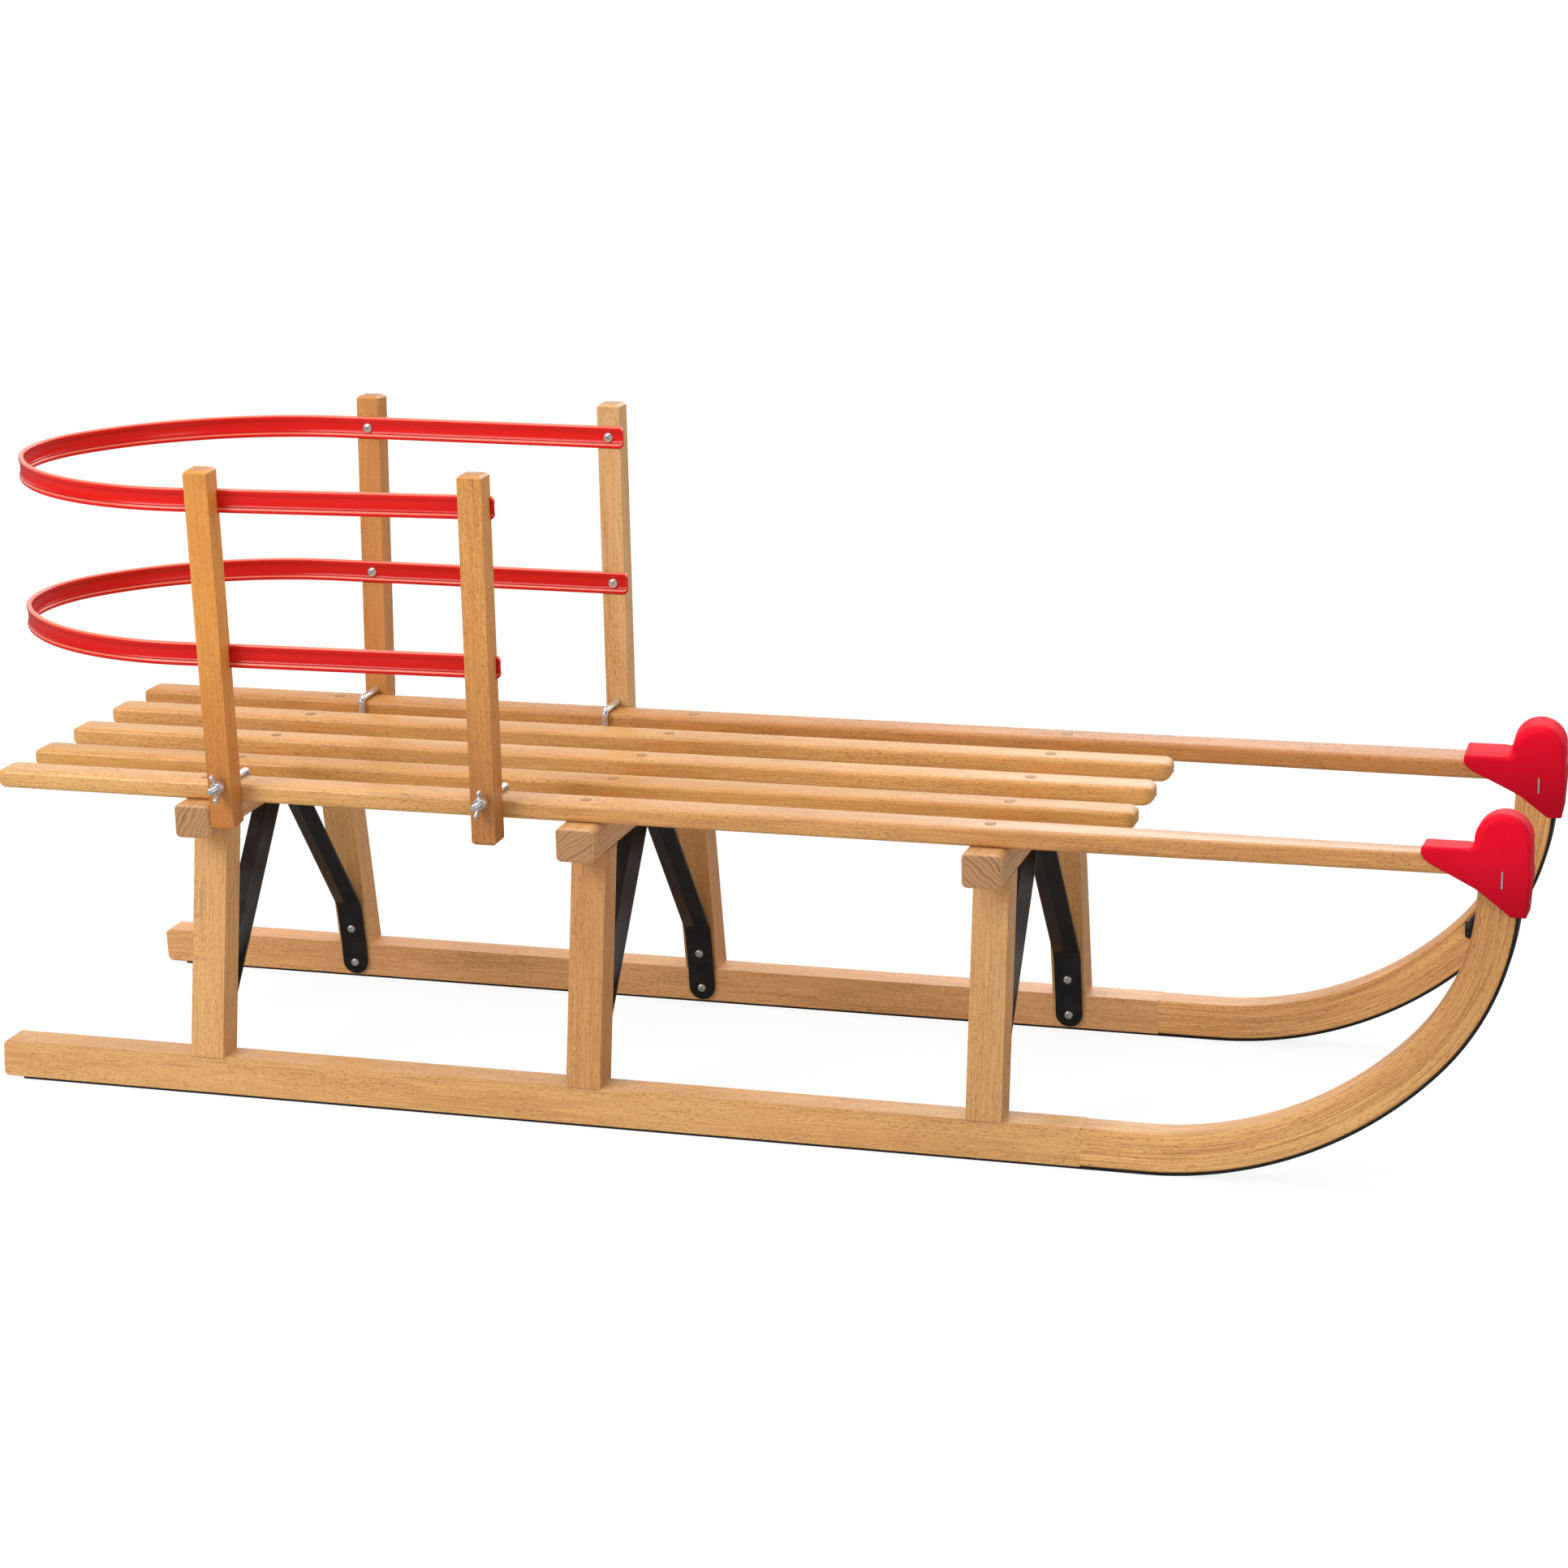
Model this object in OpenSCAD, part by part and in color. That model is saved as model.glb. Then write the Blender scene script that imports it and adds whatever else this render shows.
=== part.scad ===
// Wooden toboggan with three bridges, bent laminated runner fronts,
// steel runner strips, plastic nose caps and a clamp-on hooped backrest.
// +X forward (nose), +Y left, +Z up. Origin on the ground, on the centre
// plane, midway along the whole length. Millimetres. The sizes below are
// measured along the sled from the middle crossbeam.

/* [Deck] */
// Height of the deck's top above the ground
seat_z = 231; // [200:1:260]
// Thickness of one slat
slat_t = 13.5; // [11:0.5:16]
// Width of one slat
slat_w = 26; // [22:1:30]
// Centre of the outer slats from the centre plane
outer_y = 123; // [116:1:126]
// Centre of the inner slats from the centre plane
inner_y = 65; // [55:1:72]
// Rear end of all slats
rear_x = -454; // [-470:1:-440]
// Front end of the three inner slats
inner_front_x = 376.5; // [340:1:400]
// Front end of the outer slats, inside the nose caps
outer_front_x = 640; // [636:1:642]

/* [Bridges] */
// Distance from one crossbeam to the next
bridge_pitch = 288; // [270:1:300]
// Width of a crossbeam along the sled
beam_x = 28; // [24:1:32]
// Half length of a crossbeam
beam_half = 151.5; // [145:0.5:156]
// Depth of a crossbeam
beam_h = 24.5; // [20:0.5:28]
// Width of a leg along the sled
leg_x = 25; // [22:1:27]
// Thickness of a leg across the sled
leg_t = 24.4; // [20:0.2:26]
// Outer face of a leg under the crossbeam
leg_top_y = 121.7; // [116:0.1:124]
// Outward slope of the legs, millimetres per millimetre of height
leg_slope = 0.1786; // [0.15:0.0001:0.19]

/* [Runners] */
// Half distance between the runner centres at the ground
runner_y = 141; // [136:1:144]
// Inward lean of the runners, millimetres per millimetre of height
lean = 0.096; // [0.08:0.001:0.11]
// Width of a runner
runner_w = 23; // [20:1:25]
// Top of the straight runner above the ground
runner_top = 28.4; // [26:0.1:30]
// Start of the bend
bend_x = 398.75; // [390:0.25:405]
// Radius of the first part of the bend
bend_r1 = 266.4; // [250:0.1:280]
// Angle of the first part of the bend
bend_a1 = 46.5; // [40:0.1:50]
// Radius of the second part of the bend
bend_r2 = 179.3; // [170:0.1:190]
// Angle of the second part of the bend
bend_a2 = 41.1; // [36:0.1:43]
// Joint between the straight rail and the laminated bow
splice_x = 355; // [340:1:370]
// Thickness of the steel strip
strip_t = 2; // [1.5:0.1:2.5]
// Width of the steel strip
strip_w = 21; // [12:1:22]

/* [Backrest] */
// Centre of the rear posts along the sled
post_rear_x = -263.6; // [-266:0.1:-250]
// Centre of the front posts along the sled
post_front_x = -65.3; // [-90:0.1:-60]
// Side of a square post
post_s = 17.5; // [15:0.5:19]
// Bottom of the posts
post_z0 = 202.5; // [198:0.5:206]
// Top of the posts
post_z1 = 463; // [420:1:480]
// Middle height of the upper hoop
hoop_hi = 438.2; // [400:0.1:445]
// Middle height of the lower hoop
hoop_lo = 326.5; // [300:0.5:340]
// Height of the hoop strip
hoop_h = 17; // [14:0.5:20]
// Thickness of the hoop strip at its rims
hoop_t = 4; // [3:0.5:5]
// Rearmost point of the upper hoop's middle line
hoop_tip_hi = -469.3; // [-480:0.1:-465]
// Rearmost point of the lower hoop's middle line
hoop_tip_lo = -471.4; // [-480:0.1:-465]
// Front end of the hoop arms
hoop_end = -54; // [-56:0.5:-50]
// Diameter of the hook bolts
hook_d = 5; // [4.5:0.1:5.2]

/* [Hidden] */
$fn = 48;

left = 1;
right = -1;
gap = 0.1;    // clearance around most joints and screws
play = 0.02;  // a shank or plug is this much under its nominal radius

beech = "#d9a566";
dark_beech = "#cf9450";
plug_wood = "#b98a4f";
cap_red = "#c81220";
hoop_red = "#dd2119";
steel = "#181818";
zinc = "#b9bcbf";

// nominal screw radii
small_screw_r = 1.75;  // braces and steel strips
slat_screw_r = 2;
nose_screw_r = 2;
bow_screw_r = 1.4;
hoop_screw_r = 1.7;
slot_w = 0.9;  // width of the cross slots in the screw heads

cap_front_x = 647.6;  // foremost point of the nose caps
mid_x = (min(hoop_tip_hi, hoop_tip_lo) - hoop_t / 2 + cap_front_x) / 2;
slat_z = seat_z - slat_t;
beam_z = slat_z - beam_h;
beams = [-bridge_pitch, 0, bridge_pitch];
slat_ys = [-outer_y, -inner_y, 0, inner_y, outer_y];

// centre and faces of a runner, and faces of a leg, at height z
function run_centre(z) = runner_y - lean * z;
function run_in(z) = run_centre(z) - runner_w / 2;
function run_out(z) = run_centre(z) + runner_w / 2;
function leg_out(z) = leg_top_y + leg_slope * (beam_z - z);
function leg_in(z) = leg_out(z) - leg_t;
run_tilt = atan(lean);
leg_tilt = atan(leg_slope);

/* ---- helpers ---- */
// moves the origin to midway along the sled
module place() translate([-mid_x, 0, 0]) children();
// drawn on the left (+Y), mirrored for the right
module on_side(side) {
  if (side > 0) children();
  else mirror([0, 1, 0]) children();
}
module both_sides() for (side = [right, left]) on_side(side) children();
// profile drawn in Y and Z, extruded along X
module along_x(start, end) translate([start, 0, 0]) rotate([90, 0, 90])
  linear_extrude(end - start) children();
// profile drawn in X and Z, extruded along Y
module along_y(start, end) translate([0, end, 0]) rotate([90, 0, 0])
  linear_extrude(end - start) children();
// lower left corner at the origin
module rounded_rect(width, height, radius) {
  translate([radius, 0]) square([width - 2 * radius, height]);
  translate([0, radius]) square([width, height - 2 * radius]);
  for (x = [radius, width - radius], y = [radius, height - radius])
    translate([x, y]) circle(radius);
}
// quarter of a rod ring in the YZ plane, turned about X
module quarter_bend(radius, diameter, turn = 0) rotate([90, 0, 90]) rotate([0, 0, turn])
  rotate_extrude(angle = 90) translate([radius, 0]) circle(d = diameter);
module cross_slot(length, depth) {
  cube([slot_w, length, depth], center = true);
  cube([length, slot_w, depth], center = true);
}

/* ---- runners ---- */
rail_rear_x = rear_x + 2;
rail_round = 4;           // radius of the rail's rear edges
bow_top_z = slat_z - 0.1;
strip_rear_x = rear_x + 17;
strip_top_z = 196;        // upper front end of the steel strip
strip_screw_xs = [-410, -190, 110, 320];
strip_head_r = 3.5;
bend_steps = 56;

// from an arc's centre to the point where the runner has turned by angle
function spoke(angle) = [sin(angle), -cos(angle)];
bend_centre1 = [bend_x, bend_r1];
bend_centre2 = bend_centre1 + (bend_r1 - bend_r2) * spoke(bend_a1);
bend_end = bend_a1 + bend_a2;
// [x, z] on the bend, inset from the outer curve
function bend_point(angle, inset) = angle <= bend_a1
  ? bend_centre1 + (bend_r1 - inset) * spoke(angle)
  : bend_centre2 + (bend_r2 - inset) * spoke(angle);
// straight on from the end of the bend up to height z
function tip_point(inset, z) = let(last = bend_point(bend_end, inset))
  [last[0] + (z - last[1]) / tan(bend_end), z];
function runner_curve(start_x, inset, top_z, steps) = concat(
  [[start_x, inset]],
  [for (i = [0:steps]) bend_point(bend_end * i / steps, inset)],
  [tip_point(inset, top_z)]);

// leaning band between two insets, from start_x up to top_z
module bent_band(start_x, outer_inset, inner_inset, half_w, top_z, steps) {
  outer = runner_curve(start_x, outer_inset, top_z, steps);
  inner = runner_curve(start_x, inner_inset, top_z, steps);
  count = len(outer);
  function corner(point, side) =
    [point[0], run_centre(point[1]) + side * half_w, point[1]];
  points = [for (i = [0:count - 1]) each [corner(outer[i], -1), corner(outer[i], 1),
    corner(inner[i], 1), corner(inner[i], -1)]];
  walls = [for (i = [0:count - 2], k = [0:3])
    [4 * i + k, 4 * i + 4 + k, 4 * i + 4 + (k + 1) % 4, 4 * i + (k + 1) % 4]];
  last = 4 * count - 1;
  polyhedron(points, concat([[0, 1, 2, 3]], walls, [[last, last - 1, last - 2, last - 3]]),
    convexity = 4);
}
module at_strip_screws() for (x = strip_screw_xs)
  translate([x, run_centre(0), 0]) children();

module rail(side) place() on_side(side) color(dark_beech) difference() {
  height = runner_top - strip_t;
  intersection() {
    along_x(rail_rear_x, splice_x) polygon([
      [run_in(strip_t), strip_t], [run_out(strip_t), strip_t],
      [run_out(runner_top), runner_top], [run_in(runner_top), runner_top]]);
    // side view with rounded rear edges, larger than the rail elsewhere
    along_y(100, 180) translate([rail_rear_x, strip_t]) {
      translate([rail_round, 0]) square([900, 80]);
      translate([0, rail_round]) square([900, height - 2 * rail_round]);
      for (z = [rail_round, height - rail_round])
        translate([rail_round, z]) circle(rail_round);
    }
  }
  for (x = beams) leg_tenon_low(x, gap);
  at_strip_screws() cylinder(r = small_screw_r + gap, h = 17);
  for (x = beams) tab_screw_holes(x);
}
module bow(side) place() on_side(side) color(beech) difference() {
  bent_band(splice_x + 0.05, strip_t + 0.02, runner_top, runner_w / 2, bow_top_z, bend_steps);
  nose_screw_hole();
  foot_screw_hole();
}
module strip(side) place() on_side(side) color(steel) difference() {
  bent_band(strip_rear_x, 0, strip_t, strip_w / 2, strip_top_z, bend_steps);
  at_strip_screws() {
    translate([0, 0, -0.01])
      cylinder(r1 = strip_head_r + gap, r2 = small_screw_r + gap, h = 1.76);
    cylinder(r = small_screw_r + gap, h = 5);
  }
}
module strip_screws() place() color(zinc) both_sides() at_strip_screws()
  translate([0, 0, 0.05]) {
    cylinder(r1 = strip_head_r - 0.1, r2 = small_screw_r - 0.05, h = 1.7);
    cylinder(r = small_screw_r - play, h = 16);
  }

/* ---- bridges ---- */
tenon_half_x = 9.5;
tenon_half_y = 5;
tenon_len = 15;
tenon_root = 2;         // depth of the tenon's root inside the leg
brace_top_screw_y = 10; // screws up into the crossbeam

// follows the slope of the leg; up is 1 above the leg and -1 below it
module leg_tenon(x, shoulder_z, up, clearance) {
  half_y = tenon_half_y + clearance;
  half_x = tenon_half_x + clearance;
  root = -up * tenon_root;
  tip = up * (tenon_len + clearance);
  along_x(x - half_x, x + half_x)
    polygon([for (p = [[-half_y, root], [half_y, root], [half_y, tip], [-half_y, tip]])
      let(z = shoulder_z + p[1]) [leg_in(z) + leg_t / 2 + p[0], z]]);
}
module leg_tenon_top(x, clearance) leg_tenon(x, beam_z, 1, clearance);
module leg_tenon_low(x, clearance) leg_tenon(x, runner_top, -1, clearance);

module leg(x, side) place() on_side(side) color(beech) difference() {
  union() {
    along_x(x - leg_x / 2, x + leg_x / 2) polygon([
      [leg_in(beam_z), beam_z], [leg_out(beam_z), beam_z],
      [leg_out(runner_top), runner_top], [leg_in(runner_top), runner_top]]);
    leg_tenon_top(x, 0);
    leg_tenon_low(x, 0);
  }
  tab_screw_holes(x);
}
module crossbeam(x) place() color(dark_beech) difference() {
  along_y(-beam_half, beam_half) translate([x - beam_x / 2, beam_z])
    rounded_rect(beam_x, beam_h, 3);
  both_sides() leg_tenon_top(x, gap);
  for (y = slat_ys) translate([x, y, beam_z + 3])
    cylinder(r = slat_screw_r + gap, h = 40);
  for (side = [-1, 1]) translate([x, side * brace_top_screw_y, beam_z - 1])
    cylinder(r = small_screw_r + gap, h = 15);
}

/* ---- braces: one bent strap per bridge ---- */
brace_w = 20;
brace_t = 2.5;
knee_z = 62;               // bend between tab and arm
strap_top = beam_z - 0.1;
tab_z = 3.5;               // lower end of the tab
corner_reach = 9;          // length of arm belonging to each bent corner
arm_inset = 5;             // start of the creased part from each bend
arm_half_w = 9.9;
crease = 2.2;              // depth of the crease along the arm
upper_screw_z = 42;        // tab screw into the leg
lower_screw_z = 13;        // tab screw into the runner

// planes just inside the leg and the runner, where fittings lie
function leg_face(z) = leg_in(z) - 0.15;
function run_face(z) = run_in(z) - 0.1;
function unit(vector) = vector / norm(vector);
// inner corner of a strap bent at point between two outward normals
function strap_in(point, normal_a, normal_b) =
  point - brace_t * (normal_a + normal_b) / (1 + normal_a * normal_b);

// [y, z] of the bends on the strap's outer side, and directions
knee = [leg_face(knee_z), knee_z];
arm_top = [18.5, strap_top];
arm_dir = unit(arm_top - knee);
arm_normal = [arm_dir[1], -arm_dir[0]];
leg_normal = unit([1, leg_slope]);
arm_len = norm(arm_top - knee);
arm_angle = atan2(-arm_dir[0], arm_dir[1]);

tab_outline = [
  [run_face(tab_z), tab_z],
  [leg_face(runner_top), runner_top],
  knee,
  knee + corner_reach * arm_dir,
  knee + corner_reach * arm_dir - brace_t * arm_normal,
  strap_in(knee, leg_normal, arm_normal),
  [leg_face(runner_top) - brace_t, runner_top],
  [run_face(tab_z) - brace_t, tab_z]];
// left half of the flat top
top_half = [
  arm_top,
  arm_top - corner_reach * arm_dir,
  arm_top - corner_reach * arm_dir - brace_t * arm_normal,
  strap_in(arm_top, arm_normal, [0, 1])];

module arm_section() {
  half_t = brace_t / 2 - 0.05;
  polygon([[-arm_half_w, -half_t], [0, -half_t - crease], [arm_half_w, -half_t],
    [arm_half_w, half_t], [0, half_t - crease], [-arm_half_w, half_t]]);
}
module brace(x) place() color(steel) difference() {
  union() {
    both_sides() {
      // tab against the leg and the runner, with a round lower end
      intersection() {
        along_x(x - brace_w / 2, x + brace_w / 2) polygon(tab_outline);
        along_y(90, 140) union() {
          translate([x, tab_z + brace_w / 2]) circle(brace_w / 2);
          translate([x - 12, tab_z + brace_w / 2]) square([24, 80]);
        }
      }
      // creased arm up to the crossbeam
      translate([x, knee[0], knee[1]]) rotate([arm_angle, 0, 0])
        translate([0, -brace_t / 2, arm_inset])
          linear_extrude(arm_len - 2 * arm_inset) arm_section();
    }
    // flat top under the crossbeam
    along_x(x - brace_w / 2, x + brace_w / 2)
      polygon(concat(top_half, [for (i = [3:-1:0]) [-top_half[i][0], top_half[i][1]]]));
  }
  for (side = [-1, 1]) translate([x, side * brace_top_screw_y, beam_z - 10])
    cylinder(r = small_screw_r + gap, h = 20);
  both_sides() tab_screw_holes(x);
}
// local Z points outward, square to the leg (upper) and the runner (lower)
module at_tab_screws(x)
  for (site = [[leg_face(upper_screw_z), upper_screw_z, leg_tilt],
               [run_face(lower_screw_z), lower_screw_z, run_tilt]])
    translate([x, site[0] - brace_t, site[1]]) rotate([-90 + site[2], 0, 0]) children();
module tab_screw_holes(x) at_tab_screws(x) translate([0, 0, -1])
  cylinder(r = small_screw_r + gap, h = 20);
module brace_screw_head() cylinder(r1 = 2.4, r2 = 3.2, h = 1.6);
module brace_screws() place() color(zinc) for (x = beams) {
  both_sides() at_tab_screws(x) {
    translate([0, 0, -1.9]) difference() {
      brace_screw_head();
      translate([0, 0, -1]) cross_slot(3, 4);
    }
    translate([0, 0, -0.4]) cylinder(r = small_screw_r - play, h = 18);
  }
  for (side = [-1, 1])
    translate([x, side * brace_top_screw_y, strap_top - brace_t]) {
      translate([0, 0, -1.7]) brace_screw_head();
      translate([0, 0, -0.2]) cylinder(r = small_screw_r - play, h = 15);
    }
}

/* ---- deck ---- */
plug_r = 3.9;
plug_z = seat_z - 4.2;   // floor of the plug holes
slat_screw_z = beam_z + 4;

module at_beams(ys) for (x = beams, y = ys) translate([x, y, 0]) children();
module slat(y) place() color(beech) difference() {
  is_outer = abs(y) == outer_y;
  front_x = is_outer ? outer_front_x : inner_front_x;
  length = front_x - rear_x;
  // rounded in end view, top view and side view
  intersection() {
    along_x(rear_x, front_x) translate([y - slat_w / 2, slat_z])
      rounded_rect(slat_w, slat_t, 3.5);
    translate([rear_x, y - slat_w / 2, slat_z - 1]) linear_extrude(slat_t + 2)
      rounded_rect(length, slat_w, 6);
    along_y(y - 20, y + 20) translate([rear_x, slat_z])
      rounded_rect(length, slat_t, 4);
  }
  at_beams([y]) {
    translate([0, 0, plug_z]) cylinder(r = plug_r, h = 10);
    cylinder(r = slat_screw_r + gap, h = 400);
  }
  if (is_outer) both_sides() nose_screw_hole();
}
module slat_screws() place() color(zinc) at_beams(slat_ys)
  translate([0, 0, slat_screw_z])
    cylinder(r = slat_screw_r - play, h = plug_z + 0.01 - slat_screw_z);
module slat_plugs() place() color(plug_wood) at_beams(slat_ys)
  translate([0, 0, plug_z + 0.05])
    cylinder(r = plug_r - play, h = seat_z - 0.1 - (plug_z + 0.05));

/* ---- nose ---- */
nose_y = outer_y - 0.2;
cap_w = 30.5;
cap_pivot_z = 224;       // height about which the cap leans
cap_chamfer = 3;
slat_pocket_x = 500;     // rear end of the cut for the slat
nose_screw_x = 628;
nose_screw_z = 188;      // lower end of the nose screws

// side views of the cap, [x, z]: full outline, and the smaller one at
// its side faces
cap_arm_outline = [
  [577, 235.7], [576.5, 231], [578.5, 227], [583, 223.5],
  [593, 218.8], [612, 209.5], [642, 209.5], [642, 235.7]];
cap_arm_face = [
  [580, 233], [579.5, 231], [581, 228.5], [585, 225.5],
  [594, 221], [613, 211.8], [640, 211.8], [640, 233]];
cap_skirt_outline = [
  [606, 215], [616, 206.5], [638, 190.5], [641, 185.8], [645, 186.5],
  [cap_front_x, 221], [646.6, 223], [646.9, 240], [612, 240]];
cap_skirt_face = [
  [608, 216.5], [617.5, 209.5], [638, 194.5], [640, 190], [641, 190.5],
  [643.2, 221], [642.8, 223], [643, 238], [614, 238]];

// the cap's own frame leans with the runner
module cap_frame() translate([0, nose_y, cap_pivot_z]) rotate([run_tilt, 0, 0])
  translate([0, 0, -cap_pivot_z]) children();
module chamfered(outline, face) hull() {
  along_y(-cap_w / 2 + cap_chamfer, cap_w / 2 - cap_chamfer) polygon(outline);
  along_y(-cap_w / 2, cap_w / 2) polygon(face);
}
module nose_cap(side) place() on_side(side) color(cap_red) difference() {
  cap_frame() {
    // arm over the slat
    chamfered(cap_arm_outline, cap_arm_face);
    // skirt over the runner tip
    chamfered(cap_skirt_outline, cap_skirt_face);
    // round bump
    translate([628.4, 0, 241]) rotate([90, 0, 0]) hull() {
      cylinder(r = 18.4, h = 16, center = true);
      cylinder(r = 15, h = cap_w, center = true);
    }
  }
  // pocket for the slat end
  translate([slat_pocket_x, outer_y - slat_w / 2 - gap, slat_z - gap])
    cube([outer_front_x - slat_pocket_x + 2 * gap, slat_w + 2 * gap, slat_t + 2 * gap]);
  // pocket for the runner tip
  bent_band(380, -0.1, runner_top + 0.15, runner_w / 2 + 0.15, slat_z + 1, 40);
  nose_screw_hole();
  staple_pair(0.05);
}
// upright bars, half sunk into the cap's two side faces
module staple_pair(clearance) for (face = [-1, 1]) cap_frame()
  translate([628.6, face * cap_w / 2 - 0.5, 210.5] - clearance * [1, 1, 1])
    cube([1.2, 1, 11.5] + 2 * clearance * [1, 1, 1]);
module cap_staples() place() color(zinc) both_sides() staple_pair(0);

module nose_screw(radius, top_z) translate([nose_screw_x, outer_y, nose_screw_z])
  cylinder(r = radius, h = top_z - nose_screw_z);
module nose_screw_hole() nose_screw(nose_screw_r + gap, seat_z + 1);
module nose_screws() place() color(zinc) both_sides()
  nose_screw(nose_screw_r - gap, seat_z - 0.2);

/* ---- pull bow between the runner fronts ---- */
pull_d = 7;
pull_x = 584;          // start of the rod, above the foot
pull_z = 106;
pull_tilt = 32;        // forward lean of the bow
pull_bend_r = 42;
pull_straight = 3;     // straight rod before the bend
pull_y = run_in(pull_z) - 4.1;
foot_x = 583.2;        // centre of the foot's round end
foot_z = 99.4;
foot_r = 3.4;
foot_inner = 3.4;      // foot's inner face from the runner
foot_zs = [94, 112];   // heights between which the foot's section is drawn

module pull_frame() translate([pull_x, 0, pull_z]) rotate([0, pull_tilt, 0]) children();
module pull_bow() place() color(steel) difference() {
  union() {
    both_sides() {
      pull_frame() {
        translate([0, pull_y, -2]) cylinder(d = pull_d, h = pull_straight + 2);
        translate([0, pull_y - pull_bend_r, pull_straight])
          quarter_bend(pull_bend_r, pull_d);
      }
      // flattened foot with a round end
      intersection() {
        along_x(570, 600) polygon([
          [run_face(foot_zs[0]), foot_zs[0]],
          [run_face(foot_zs[1]), foot_zs[1]],
          [run_in(foot_zs[1]) - foot_inner, foot_zs[1]],
          [run_in(foot_zs[0]) - foot_inner, foot_zs[0]]]);
        along_y(90, 150) union() {
          translate([foot_x, foot_z]) circle(foot_r);
          translate([foot_x - foot_r, foot_z]) square([2 * foot_r, 8.7]);
        }
      }
    }
    pull_frame() translate([0, 0, pull_straight + pull_bend_r]) rotate([90, 0, 0])
      cylinder(d = pull_d, h = 2 * (pull_y - pull_bend_r), center = true);
  }
  both_sides() foot_screw_hole();
}
// local Z points outward into the runner
module at_foot_screw() translate([foot_x, run_in(foot_z) - foot_inner, foot_z])
  rotate([-90 + run_tilt, 0, 0]) children();
module foot_screw_hole() at_foot_screw() translate([0, 0, -5])
  cylinder(r = bow_screw_r + gap, h = 24);
module pull_bow_screws() place() color(zinc) both_sides() at_foot_screw() {
  translate([0, 0, -0.1]) cylinder(r = bow_screw_r - play, h = 17.1);
  translate([0, 0, -1.5]) cylinder(r1 = 1.8, r2 = 2.6, h = 1.45);
}

/* ---- backrest hoops ---- */
// [middle height, rearmost x, radius and half angle of the rear arc,
//  angle of the arm to the X axis, y of the arm at arm_start_x]
upper = [hoop_hi, hoop_tip_hi, 105.2, 27, 2.75, 147.5];
lower = [hoop_lo, hoop_tip_lo, 105.5, 32, 1.3, 142.5];
arm_start_x = -264.5;
rim_h = 4;
web_half_t = 1.1;   // half thickness of the hoop between its rims
function hoop_z(hoop) = hoop[0];
function hoop_angle(hoop) = hoop[4];
function arm_y(hoop, x) = hoop[5] - (x - arm_start_x) * tan(hoop_angle(hoop));
function dir(angle) = [cos(angle), sin(angle)];

// arc band between two angles
module ring_part(centre, radius, half_t, start, end) translate(centre) intersection() {
  difference() {
    circle(radius + half_t, $fn = 180);
    circle(radius - half_t, $fn = 180);
  }
  polygon(concat([[0, 0]],
    [for (i = [0:4]) 2 * radius * dir(start + (end - start) * i / 4)]));
}
// left half: rear arc, side arc tangent to it, then the straight arm;
// neighbouring parts overlap slightly
module hoop_half(hoop, half_t) {
  rear_r = hoop[2];
  joint = 180 - hoop[3];
  arm_joint = 90 - hoop_angle(hoop);
  rear_centre = [hoop[1] + rear_r, 0];
  // the side arc ends on the arm's line
  side_r = ([arm_start_x, arm_y(hoop, arm_start_x)] - rear_centre - rear_r * dir(joint))
    * dir(arm_joint) / ((dir(arm_joint) - dir(joint)) * dir(arm_joint));
  side_centre = rear_centre + (rear_r - side_r) * dir(joint);
  arm_start = side_centre + side_r * dir(arm_joint);
  ring_part(rear_centre, rear_r, half_t, joint - 0.02, 180.5);
  ring_part(side_centre, side_r, half_t, arm_joint - 0.02, joint + 0.02);
  translate(arm_start) rotate(-hoop_angle(hoop)) translate([-0.1, -half_t])
    square([(hoop_end - arm_start[0]) / cos(hoop_angle(hoop)), 2 * half_t]);
}
// hoop seen from above, extruded up from z
module hoop_band(hoop, z, height, half_t) translate([0, 0, z]) linear_extrude(height) {
  hoop_half(hoop, half_t);
  mirror([0, 1]) hoop_half(hoop, half_t);
}
module hoop_slot(hoop) hoop_band(hoop, hoop_z(hoop) - hoop_h / 2 - gap,
  hoop_h + 2 * gap, hoop_t / 2 + gap);
module hoop_piece(hoop) place() color(hoop_red) difference() {
  low_z = hoop_z(hoop) - hoop_h / 2;
  union() {
    hoop_band(hoop, low_z + 1, hoop_h - 2, web_half_t);
    for (z = [low_z, low_z + hoop_h - rim_h]) hoop_band(hoop, z, rim_h, hoop_t / 2);
  }
  at_hoop_screws(hoop) cylinder(r = hoop_screw_r + 0.2, h = 40, center = true);
}
// local Z points outward through the hoop into the post
module at_hoop_screws(hoop) for (x = [post_rear_x, post_front_x]) both_sides()
  translate([x, arm_y(hoop, x), hoop_z(hoop)])
    rotate([0, 0, -hoop_angle(hoop)]) rotate([-90, 0, 0]) children();
module hoop_screws() place() color(zinc) for (hoop = [upper, lower]) at_hoop_screws(hoop) {
  translate([0, 0, -3.55]) difference() {
    union() {
      cylinder(r1 = 3, r2 = 3.7, h = 0.9);
      translate([0, 0, 0.85]) cylinder(r = 3.7, h = 1.5);
    }
    cross_slot(4, 2.4);
  }
  translate([0, 0, -1.3]) cylinder(r = hoop_screw_r, h = 15);
}

/* ---- backrest posts, hooks and wing nuts ---- */
post_in = outer_y + slat_w / 2 + 1.2;   // inner face of the posts
post_chamfer = 2;
rear_lean = 2.64;                       // outward lean of the rear posts
hook_z = seat_z + 0.4 + hook_d / 2;     // shank above the slat
hook_low = slat_z - 0.4 - hook_d / 2;   // foot below the slat
hook_in = outer_y - slat_w / 2 - 0.5 - hook_d / 2;
hook_bend_r = 4;
hook_hole_r = hook_d / 2 + 0.06;
function post_x(front) = front ? post_front_x : post_rear_x;

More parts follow.
